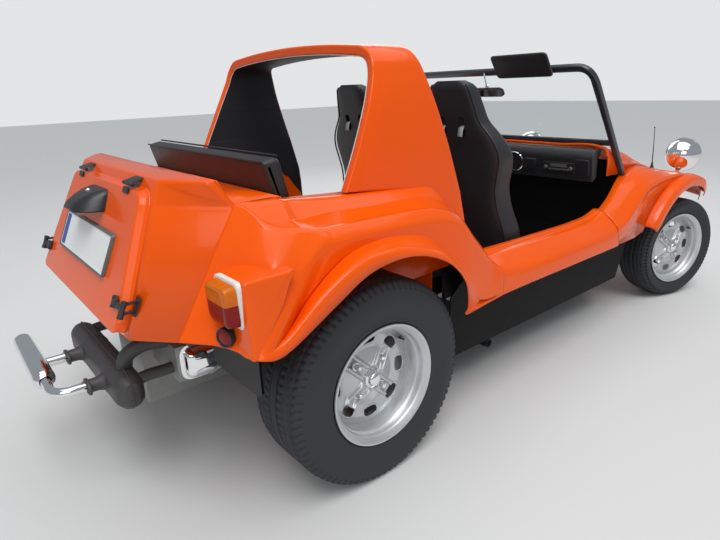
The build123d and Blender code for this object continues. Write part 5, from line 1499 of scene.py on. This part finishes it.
frame_line = screen_path(0.015, 0.0, 0.075)
frame_band = band(on_screen(frame_line[:, 0], frame_line[:, 1]), SCREEN_OUT, 0.03, 0.026, 0.007)
rail = on_screen(np.linspace(-SCREEN_HALF + 0.03, SCREEN_HALF - 0.03, 12), RAIL_UP)
piece("screen_frame", [frame_band, band(rail, SCREEN_OUT, 0.024, 0.024, 0.008)], frame_paint,
      node="windscreen_frame", crease=45)
glass_line = screen_path(0.0315, 0.233, 0.06)
pane = on_screen(glass_line[:, 0], glass_line[:, 1], -0.0025)
piece("screen_pane", [prism(pane, SCREEN_OUT, 0.005, 0.001, 2)], glass, node="windscreen_glass",
      crease=40, flip=True)
rubber_line = np.vstack([glass_line, glass_line[:1]])
closed = on_screen(rubber_line[:, 0], rubber_line[:, 1])
piece("screen_rubber", [band(closed, SCREEN_OUT, 0.009, 0.014, 0.003)], soft_rubber, crease=60)
print("windscreen made")

# %% [markdown]
# The mirror hangs behind the pane on a short stem, the padded visor is clipped to the top rail, and
# the wiper lies in front of the glass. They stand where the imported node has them. All are placed
# with the same two screen coordinates, so they follow the pane's lean.

# %% Mirror, visor and wiper
MIRROR_Y, MIRROR_UP, MIRROR_BACK = 0.01, 0.5667, 0.042
MIRROR_OUTLINE = [(-0.098, -0.016), (-0.08, -0.027), (0.08, -0.027), (0.098, -0.016), (0.098, 0.014),
                  (0.08, 0.027), (-0.08, 0.027), (-0.098, 0.014)]
VISOR_Y, VISOR_UP, VISOR_HALF, VISOR_RISE = -0.235, 0.7087, 0.16, 0.065
head = loop([on_screen(MIRROR_Y + a, MIRROR_UP + b, -MIRROR_BACK) for a, b in MIRROR_OUTLINE], 0.006, 4)
piece("mirror_shell", [prism(head, SCREEN_OUT, 0.016, 0.005, 5)], trim, node="screen_fittings",
      crease=40, flip=True)
face = head + inward(head, SCREEN_OUT) * 0.005 - SCREEN_OUT * 0.0006
piece("mirror_glass", [prism(face, SCREEN_OUT, 0.001, 0.0003, 2)], chrome, flip=True)
stem = tube(smooth_line([on_screen(MIRROR_Y, 0.674, -0.014), on_screen(MIRROR_Y, 0.64, -0.022),
                         on_screen(MIRROR_Y, 0.596, -0.03)], 14), 0.0052, 12)
ball = turned([(0, -0.011), (0.006, -0.0092), (0.011, 0), (0.006, 0.0092), (0, 0.011)],
              on_screen(MIRROR_Y, 0.60, -0.03), (1, 0, 0), 20)
piece("mirror_stem", [stem, ball], chrome, flip=True)
visor = loop([on_screen(VISOR_Y + a, VISOR_UP + b, -0.029)
              for a, b in rectangle(-VISOR_HALF, VISOR_HALF, -VISOR_RISE, VISOR_RISE)], 0.022, 6)
visor_piece = piece("sun_visor", [prism(visor, SCREEN_OUT, 0.014, 0.0065, 6)], vinyl, crease=50, flip=True)
visor_edge = np.vstack([visor, visor[:1]]) + SCREEN_OUT * 0.007
piece("visor_welt", [tube(visor_edge, 0.0022, 6)], frame_grey, flip=True)
WIPER_LOW, WIPER_HIGH = (0.52, 0.214), (0.34, 0.446)
low, high = (np.array(p) for p in (WIPER_LOW, WIPER_HIGH))
share = np.linspace(0, 1, 10)[:, None]
arm = on_screen(*(low + (high - low) * 0.62 * share).T, out=np.linspace(0.016, 0.022, 10))
blade = on_screen(*(low + (high - low) * (0.24 + 0.76 * share)).T, out=0.012)
pivot = turned([(0, 0.024), (0.008, 0.022), (0.011, 0.016), (0.011, 0.004)], on_screen(*low), SCREEN_OUT, 20)
piece("wiper_arm", [tube(arm, np.linspace(0.005, 0.003, 10), 8), tube(blade, 0.0035, 6), pivot], trim,
      flip=True)
print("mirror, visor and wiper made")

# %% [markdown]
# ## Dash, steering and controls
#
# The dash is a board with a rolled upper edge. Its gauges, switch panels and radio sit on the face
# towards the seats, and each is placed by a point on that face and grown out from it. Their faces
# are plain, without marks.

# %% Dash
DASH_HALF = 0.546
DASH_OUT = np.array((-0.986, 0, -0.167))
DASH_SIDE = [(1.612, 0.90), (1.64, 0.934), (1.6915, 0.934), (1.6915, 0.906), (1.668, 0.903), (1.668, 0.791),
             (1.634, 0.77)]
dash_side = loop([(x, -DASH_HALF, z) for x, z in DASH_SIDE],
                 [0.02, 0.016, 0.006, 0.004, 0.006, 0.006, 0.008], 6)
piece("dash_board", [prism(dash_side, (0, 1, 0), 2 * DASH_HALF, 0.006, 4)], vinyl, node="dash_panel",
      crease=40, flip=True)


def on_dash(y, z, out=0.0):
    """A point on the dash face, that far out towards the seats."""
    return np.array((1.612 + (0.90 - z) * 0.1692, y, z)) + DASH_OUT * out


def dash_box(y, z, half, rise, out, corner, edge=0.003):
    """A raised panel on the dash face."""
    up = np.cross((0, 1, 0), DASH_OUT)
    up = up * np.sign(up[2])
    corners = [on_dash(y, z, -0.002) + np.array((0, a, 0)) + up * b for a,
               b in rectangle(-half, half, -rise, rise)]
    return prism(loop(corners, corner, 5), DASH_OUT, out + 0.002, edge, 4, back_edge=0.0)


print("dash made")

# %% Gauges, switches and radio
# side place, height and radius of each gauge
GAUGES = [(-0.086, 0.846, 0.052), (0.33, 0.846, 0.052), (0.235, 0.842, 0.026), (0.425, 0.842, 0.026)]
RADIO_Y, RADIO_Z = -0.363, 0.838
bezels = []
dials = []
for y, z, r in GAUGES:
    centre = on_dash(y, z)
    bezels.append(turned([(r + 0.003, -0.002), (r + 0.004, 0.003), (r + 0.002, 0.006), (r - 0.002, 0.005),
                          (r - 0.003, 0.002)], centre, DASH_OUT, 40))
    dials.append(turned([(r - 0.002, 0.0022), (0, 0.0022)], centre, DASH_OUT, 32))
piece("gauge_bezels", bezels, chrome, flip=True)
piece("gauge_dials", dials, trim, flip=True)
panels = [dash_box(-0.193, 0.846, 0.036, 0.03, 0.022, 0.01),
          dash_box(RADIO_Y, RADIO_Z, 0.09, 0.026, 0.012, 0.004),
          dash_box(-0.49, 0.842, 0.04, 0.044, 0.01, 0.016)]
piece("dash_panels", panels, trim, crease=40)
buttons = [dash_box(RADIO_Y + a, 0.828, 0.0075, 0.004, 0.015, 0.001, 0.001)
           for a in np.linspace(-0.05, 0.05, 6)]
window = dash_box(RADIO_Y, 0.848, 0.048, 0.009, 0.0128, 0.002, 0.0006)
knobs = [turned([(0.009, 0.01), (0.009, 0.022), (0.0075, 0.024), (0, 0.024)], on_dash(RADIO_Y + a, RADIO_Z),
                DASH_OUT, 20) for a in (-0.072, 0.072)]
piece("radio_buttons", buttons + [window] + knobs, frame_grey, crease=40)
print("gauges", len(GAUGES), "buttons", len(buttons))

# %% [markdown]
# The steering wheel is a turned ring with three flat spokes and a bare boss. It rides on its own
# body, whose axis is the column's, so the wheel turns with the front wheels and the column stays.

# %% Steering
HUB = np.array((1.262, 0.33, 0.872))
COLUMN_TILT = math.radians(25)
COLUMN_OUT = np.array((-math.cos(COLUMN_TILT), 0, math.sin(COLUMN_TILT)))
ACROSS = np.array((0, 1, 0))
RISE = np.cross(COLUMN_OUT, ACROSS)
GRIP_RADIUS, RING_RADIUS, COLUMN_RADIUS = 0.013, 0.165, 0.02
SPOKE_TURNS = (90, 210, 330)
grip = turned([(RING_RADIUS + GRIP_RADIUS * math.cos(a), GRIP_RADIUS * math.sin(a))
               for a in np.linspace(0, 2 * math.pi, 13)], HUB, COLUMN_OUT, 72)
piece("steering_grip", [grip], trim, body="steering", node="steering_wheel", flip=True)
spokes = []
for turn in SPOKE_TURNS:
    a = math.radians(turn)
    out = ACROSS * math.cos(a) + RISE * math.sin(a)
    side = np.cross(COLUMN_OUT, out)
    outline = [HUB + out * r + side * w - COLUMN_OUT * 0.01 for r, w in
               ((0.03, -0.018), (0.156, -0.013), (0.156, 0.013), (0.03, 0.018))]
    spokes.append(prism(loop(outline, 0.004, 4), COLUMN_OUT, 0.004, 0.001))
piece("steering_spokes", spokes, silver, body="steering", crease=40)
hub = turned([(0, 0.01), (0.024, 0.008), (0.034, 0.002), (0.038, -0.006), (0.038, -0.03), (0.014, -0.034),
              (0.012, -0.041)], HUB, COLUMN_OUT, 40)
piece("steering_boss", [hub], trim, body="steering", crease=40, flip=True)
column = tube([HUB - COLUMN_OUT * d for d in (0.0425, 0.10, 0.30, 0.50, 0.70, 0.795)], COLUMN_RADIUS, 24)
stalk = tube(smooth_line([HUB - COLUMN_OUT * 0.075, HUB - COLUMN_OUT * 0.072 + ACROSS * 0.06,
                          HUB - COLUMN_OUT * 0.055 + ACROSS * 0.135], 12), np.linspace(0.006, 0.004, 12), 10)
piece("column_tube", [column, stalk], chassis_black, node="steering_column", flip=True)
print("steering made")

# %% [markdown]
# Gear lever, hand brake and pedals show between and before the seats. A lever is a bar along a
# smooth line, its boot and knob are turned, and a pedal is a rounded pad on a bent arm.

# %% Controls
stick = tube(smooth_line([(1.28, 0, 0.345), (1.268, 0, 0.44), (1.238, 0, 0.59)], 16), 0.0065, 14)
boot = turned([(0.035, -0.001), (0.035, 0.006), (0.029, 0.012), (0.031, 0.018), (0.024, 0.024),
               (0.026, 0.03), (0.018, 0.036), (0.019, 0.042), (0.011, 0.05), (0.007, 0.056)],
               (1.28, 0, 0.3365), (0, 0, 1), 32)
knob = turned([(0, -0.026), (0.014, -0.023), (0.023, -0.01), (0.0245, 0.002), (0.02, 0.014), (0.01, 0.022),
               (0, 0.024)], (1.233, 0, 0.605), (-0.2, 0, 1), 32)
brake = tube(smooth_line([(1.08, 0, 0.35), (1.02, 0, 0.368), (0.88, 0, 0.425)], 16), 0.011, 16)
piece("levers", [stick, boot, knob, brake], trim, node="controls", flip=True)
MAT_REAR, MAT_FRONT, MAT_OUTER, MAT_INNER, MAT_Z = 0.96, 1.80, -0.56, -0.10, 0.2105
mat_corners = [(x, y, MAT_Z) for y, x in rectangle(MAT_OUTER, MAT_INNER, MAT_REAR, MAT_FRONT)]
mat = prism(loop(mat_corners, 0.03, 5), (0, 0, 1), 0.008, 0.002)
piece("floor_mats", [mat, moved(mat, -MAT_OUTER - MAT_INNER)], carpet, crease=40)
# side place and half width of clutch, brake and accelerator
PEDALS = [(0.23, 0.036), (0.32, 0.03), (0.42, 0.03)]
pedals = []
for y, half in PEDALS:
    arm = smooth_line([(1.85, y, 0.211), (1.862, y, 0.30), (1.845, y, 0.42)], 12)
    pedals.append(tube(arm, 0.006, 8))
    pad = loop([(1.838 + b * 0.30, y + a, 0.415 + b) for a, b in rectangle(-half, half, -0.036, 0.03)], 0.008,
               4)
    pedals.append(prism(pad, (-1, 0, 0.30), 0.01, 0.002))
piece("pedals", pedals, silver, crease=40, flip=True)
print("controls made")

# %% [markdown]
# ## Headlamps and antenna
#
# Each headlamp is turned about its own axis: a chrome bucket with a rolled rim, a bright dish and a
# domed lens before it. It stands on a stalk with a flared foot on the wing. The antenna is a thin
# rod that tapers from its base on the right wing.

# %% Headlamps and antenna
LAMP_CENTRE = (2.69, 0.55, 0.803)
BUCKET = [(-0.07, 0.0), (-0.0685, 0.016), (-0.063, 0.036), (-0.05, 0.06), (-0.028, 0.08), (0.005, 0.094),
          (0.038, 0.1005), (0.045, 0.101)]
RIM = [(0.044, 0.099), (0.045, 0.1025), (0.05, 0.103), (0.057, 0.10), (0.06, 0.093), (0.0585, 0.089),
       (0.054, 0.088)]
LENS = [(0.0545, 0.0885), (0.06, 0.08), (0.065, 0.06), (0.0675, 0.035), (0.068, 0.0)]
DISH = [(0.05, 0.087), (0.03, 0.074), (0.005, 0.05), (-0.015, 0.02), (-0.018, 0.0)]


def swapped(profile):
    """Profile rows for turned(): radius first, then the distance along the axis."""
    return [(r, x) for x, r in profile]


for word, sign in SIDES:
    place = np.array(LAMP_CENTRE) * (1, sign, 1)
    foot = place * (1, 1, 0)
    bucket = turned(swapped(BUCKET + RIM), place, (1, 0, 0), 64)
    post = turned([(0.03, 0.64), (0.03, 0.668), (0.024, 0.676), (0.0165, 0.682), (0.0155, 0.7125)], foot,
                  (0, 0, 1), 32)
    nut = turned([(0.02, 0.682), (0.023, 0.684), (0.023, 0.693), (0.02, 0.695)], foot, (0, 0, 1), 6)
    piece(f"headlamp_bucket_{word}", [bucket, post, nut], chrome,
          node="headlamps" if word == "left" else (), crease=35, flip=True)
    piece(f"headlamp_dish_{word}", [turned(swapped(DISH), place, (1, 0, 0), 48)], chrome, flip=True)
    piece(f"headlamp_lens_{word}", [turned(swapped(LENS), place, (1, 0, 0), 64)], lens_glass,
          wall=0.003, flip=True)
print("headlamps made")
WHIP_TIP = (2.205, -0.577, 1.0055)
whip_path = smooth_line([(2.24, -0.575, 0.792), (2.226, -0.576, 0.90), (2.205, -0.577, 1.008)], 16)
base = turned([(0.014, 0.771), (0.014, 0.777), (0.0105, 0.782), (0.006, 0.796), (0.004, 0.812)],
              (2.24, -0.575, 0), (0, 0, 1), 28)
tip = turned([(0, -0.0042), (0.003, -0.003), (0.0042, 0), (0.003, 0.003), (0, 0.0042)], WHIP_TIP, (0, 0, 1),
             14)
piece("antenna_whip", [tube(whip_path, np.linspace(0.003, 0.0016, 16), 10), base, tip], trim,
      node="antenna", flip=True)
print("antenna", round(WHIP_TIP[2] - whip_path[0, 2], 3), "m high")

# %% [markdown]
# ## Exhaust
#
# The silencer is pressed from two halves whose edges stand out as a seam all round. Two bolted
# outlets carry a chrome tail can, one by a straight tube and the other by a tube that turns back.

# %% Silencer
MUFFLER_X, MUFFLER_Z, MUFFLER_HALF_X, MUFFLER_HALF_Z = -0.66, 0.405, 0.046, 0.058
MUFFLER_ENDS, MUFFLER_BEVEL = (-0.345, 0.255), 0.04
OUTLET_YS, HEADER_YS = (-0.20, 0.07), (-0.30, 0.215)


def muffler_ring(y, share):
    """The silencer's eight-cornered section at y."""
    a, b, cut = MUFFLER_HALF_X * share, MUFFLER_HALF_Z * (0.45 + 0.55 * share), 0.026 * share
    corners = [(a, -b + cut), (a, b - cut), (a - cut, b), (-a + cut, b), (-a, b - cut), (-a, -b + cut),
               (-a + cut, -b), (a - cut, -b)]
    return loop([(MUFFLER_X + x, y, MUFFLER_Z + z) for x, z in corners], 0.012, 5)


low, high = MUFFLER_ENDS
# distance from an end and share of the section, and two raised beads between the ends
END_ROWS = [(0, 0.40), (0.004, 0.52), (MUFFLER_BEVEL * 0.5, 0.86), (MUFFLER_BEVEL, 0.985), (0.06, 1.0)]
BEAD_ROWS = [(-0.212, 1.0), (-0.205, 1.035), (-0.198, 1.0), (0.06, 1.0), (0.067, 1.035), (0.074, 1.0)]
body_rows = [(low + d, share) for d, share in END_ROWS] + BEAD_ROWS
body_rows += [(high - d, share) for d, share in END_ROWS[::-1]]
seam = loop([(MUFFLER_X - 0.002, y, MUFFLER_Z + z) for y, z in (
    (low - 0.006, -0.034), (low + 0.034, -0.066), (high - 0.034, -0.066), (high + 0.006, -0.034),
    (high + 0.006, 0.034), (high - 0.034, 0.066), (low + 0.034, 0.066), (low - 0.006, 0.034))], 0.015, 5)
flanges = []
outlets = []
for y in OUTLET_YS:
    at = np.array((-0.757, y, 0.41))
    outlets.append(turned([(0.036, 0.064), (0.028, 0.05), (0.0225, 0.034), (0.0215, 0.002)], at, (1, 0, 0),
                          32))
    ring = [at + np.array((0, 0.04 * math.cos(a) * (1 if abs(math.cos(a)) > 0.7 else 0.86),
                           0.026 * math.sin(a)))
            for a in np.linspace(0, 2 * math.pi, 24, endpoint=False)]
    flanges.append(prism(np.array(ring), (1, 0, 0), 0.008, 0.0015, 3))
    for side in (-1, 1):
        flanges.append(turned([(0, -0.007), (0.006, -0.006), (0.0068, -0.003), (0.0068, 0.0)],
                              at + (0, side * 0.031, 0), (1, 0, 0), 6))
headers = []
for y in HEADER_YS:
    path = smooth_line([(-0.655, y, 0.425), (-0.60, y, 0.432), (-0.52, y - 0.01, 0.436),
                        (-0.455, y - 0.012, 0.448)], 18)
    headers.append(tube(path, 0.019, 20))
warm = smooth_line([(-0.65, -0.25, 0.452), (-0.64, -0.262, 0.50), (-0.59, -0.275, 0.528),
                    (-0.52, -0.285, 0.524)], 18)
body_net = ring_stack([muffler_ring(*row) for row in body_rows])
piece("silencer_body", [body_net, prism(seam, (1, 0, 0), 0.004, 0.001, 2)], muffler_black,
      node="exhaust_muffler", crease=40)
piece("silencer_pipes", outlets + headers + [tube(warm, 0.024, 20)], muffler_black,
      crease=40, flip=True)
piece("outlet_flanges", flanges, muffler_black, crease=35)
print("silencer made")

# %% Chrome tail can
CAN_X, CAN_Z, CAN_RADIUS, TAIL_RADIUS, TAIL_BEND = -0.849, 0.412, 0.0345, 0.0165, 0.055
can = turned([(0, 0.335), (0.016, 0.334), (0.027, 0.329), (0.0335, 0.32), (CAN_RADIUS, 0.308),
              (CAN_RADIUS, -0.048), (0.0325, -0.06), (0.025, -0.07), (0.0185, -0.076)], (CAN_X, 0, CAN_Z),
              (0, 1, 0), 48)
straight = tube([(-0.76, 0.07, 0.411), (-0.79, 0.07, 0.411), (-0.832, 0.07, CAN_Z)], TAIL_RADIUS, 24)
turn = [(CAN_X, -0.06, CAN_Z), (CAN_X, -0.11, CAN_Z)]
turn += [(CAN_X + TAIL_BEND * (1 - math.cos(a)), -0.145 - TAIL_BEND * math.sin(a), CAN_Z)
         for a in np.linspace(0.1, math.pi / 2, 9)]
turn += [(-0.76, -0.20, 0.411)]
bent = tube(smooth_line(turn, 40), TAIL_RADIUS, 24)
piece("tail_can", [can, straight, bent], chrome, node="chrome_silencer", crease=40, flip=True)

print("tail can made")

# %% [markdown]
# ## Rocker covers and mud flaps
#
# A chrome cover with a wire bail closes each cylinder bank, and a ribbed rubber flap hangs behind
# each rear wheel. The cover is a stack of shrinking loops like a pressed lid. The flap's ribs are
# steps in a net, because a bump would not show along its edge.

# %% Rocker covers
COVER_REAR, COVER_FRONT, COVER_LOW, COVER_HIGH, COVER_CORNER = -0.505, -0.215, 0.405, 0.515, 0.034
# distance from the car's middle, and growth of the outline
COVER_RINGS = [(0.36, 0.006), (0.365, 0.006), (0.366, -0.004), (0.384, -0.007), (0.394, -0.012),
               (0.4005, -0.022), (0.402, -0.036)]
cover_nets = []
bails = []
for sign in (-1, 1):
    rows = []
    for out, grow in COVER_RINGS:
        corners = rectangle(COVER_REAR - grow, COVER_FRONT + grow, COVER_LOW - grow, COVER_HIGH + grow)
        rows.append(loop([(x, sign * out, z) for x, z in corners], COVER_CORNER + grow, 8))
    dome = ring_stack(rows)[0]
    cover_nets.append((dome if sign < 0 else dome[:, ::-1], False, True))
    bail = smooth_line([(-0.42, sign * 0.372, 0.40), (-0.41, sign * 0.404, 0.425),
                        (-0.36, sign * 0.405, 0.44), (-0.31, sign * 0.404, 0.425),
                        (-0.30, sign * 0.372, 0.40)], 24)
    bails.append(tube(bail, 0.0028, 8))
piece("cover_domes", cover_nets, chrome, node="rocker_covers", crease=40, flip=True)
piece("cover_bails", bails, cast, flip=True)
print("rocker covers made")

# %% Mud flaps
RIBS, RIB_HEIGHT = 64, 0.0016
FLAP_INNER, FLAP_OUTER, FLAP_TOP, FLAP_FOOT, FLAP_CORNER = 0.44, 0.738, 0.6497, 0.47, 0.018
FLAP_FRONT_X, FLAP_BACK_X = -0.4205, -0.427
flap_nets = []
for sign in (-1, 1):
    y = np.linspace(FLAP_INNER, FLAP_OUTER, RIBS)
    rib = np.where(np.arange(RIBS) % 2, RIB_HEIGHT, 0.0)
    top = np.full(RIBS, FLAP_TOP)
    corners = np.clip((y - 0.70) / 0.038, 0, 1) ** 2 + np.clip((0.47 - y) / 0.03, 0, 1) ** 2
    foot = FLAP_FOOT + FLAP_CORNER * corners
    front = [np.column_stack([np.full(RIBS, FLAP_FRONT_X), sign * y, z]) for z in (foot, top)]
    back = [np.column_stack([FLAP_BACK_X - rib, sign * y, z]) for z in (top, foot)]
    net = np.array(front + back)
    flap_nets.append((net if sign > 0 else net[::-1], True, False))
piece("flap_sheets", flap_nets, soft_rubber, node="mud_flaps", crease=25)

print("mud flaps with", RIBS // 2, "ribs")

# %% [markdown]
# ## Studs
#
# Small chrome studs for a cover stand along the strip beside the well and on the deck behind it.
# They are one piece, since nothing on them moves and one mesh holds them all.

# %% Studs along the strip and the deck
STUD = [(0.0056, -0.003), (0.0056, 0.0004), (0.0044, 0.0022), (0.0022, 0.0032), (0, 0.0034)]
STRIP_STUD_Y, DECK_STUD_X, DECK_STUD_Z = 0.617, -0.25, 0.9733
STRIP_STUDS = [(-0.276, 0.9155), (-0.10, 0.916), (0.068, 0.9095), (0.242, 0.9075), (0.33, 0.90)]
stud_places = [(x, sign * STRIP_STUD_Y, z) for x, z in STRIP_STUDS for sign in (-1, 1)]
stud_places += [(DECK_STUD_X, y, DECK_STUD_Z) for y in (-0.35, 0.0, 0.35)]
stud_nets = [turned(STUD, place, (0, 0, 1), 16) for place in stud_places]
piece("strip_studs", stud_nets, chrome, flip=True)
print(len(stud_places), "studs")

# %% [markdown]
# ## The imported nodes
#
# Nodes of the solids that no piece here stands for, such as the floor pan, the engine and the front
# beam, are shown as they are. They only get a finish, chosen by the material slot in the record, but
# the floor pan, the cabin sides, the footwell and the jack sockets get a near-black painted shade:
# their own black, made darker as shade under the body.


# nodes under the body that get the near-black painted shade instead of the finish of their slot
PAINTED_SHADE_NODES = ("cabin_side_left", "cabin_side_right", "footwell", "floor_pan", "jack_sockets")
for row in frame["record"]["subparts"]:
    node = nodes[row["node"]]
    node.data.materials.clear()
    node.data.materials.append(painted_shade_black if row["node"] in PAINTED_SHADE_NODES else FINISH_OF[row["material_slot"]])
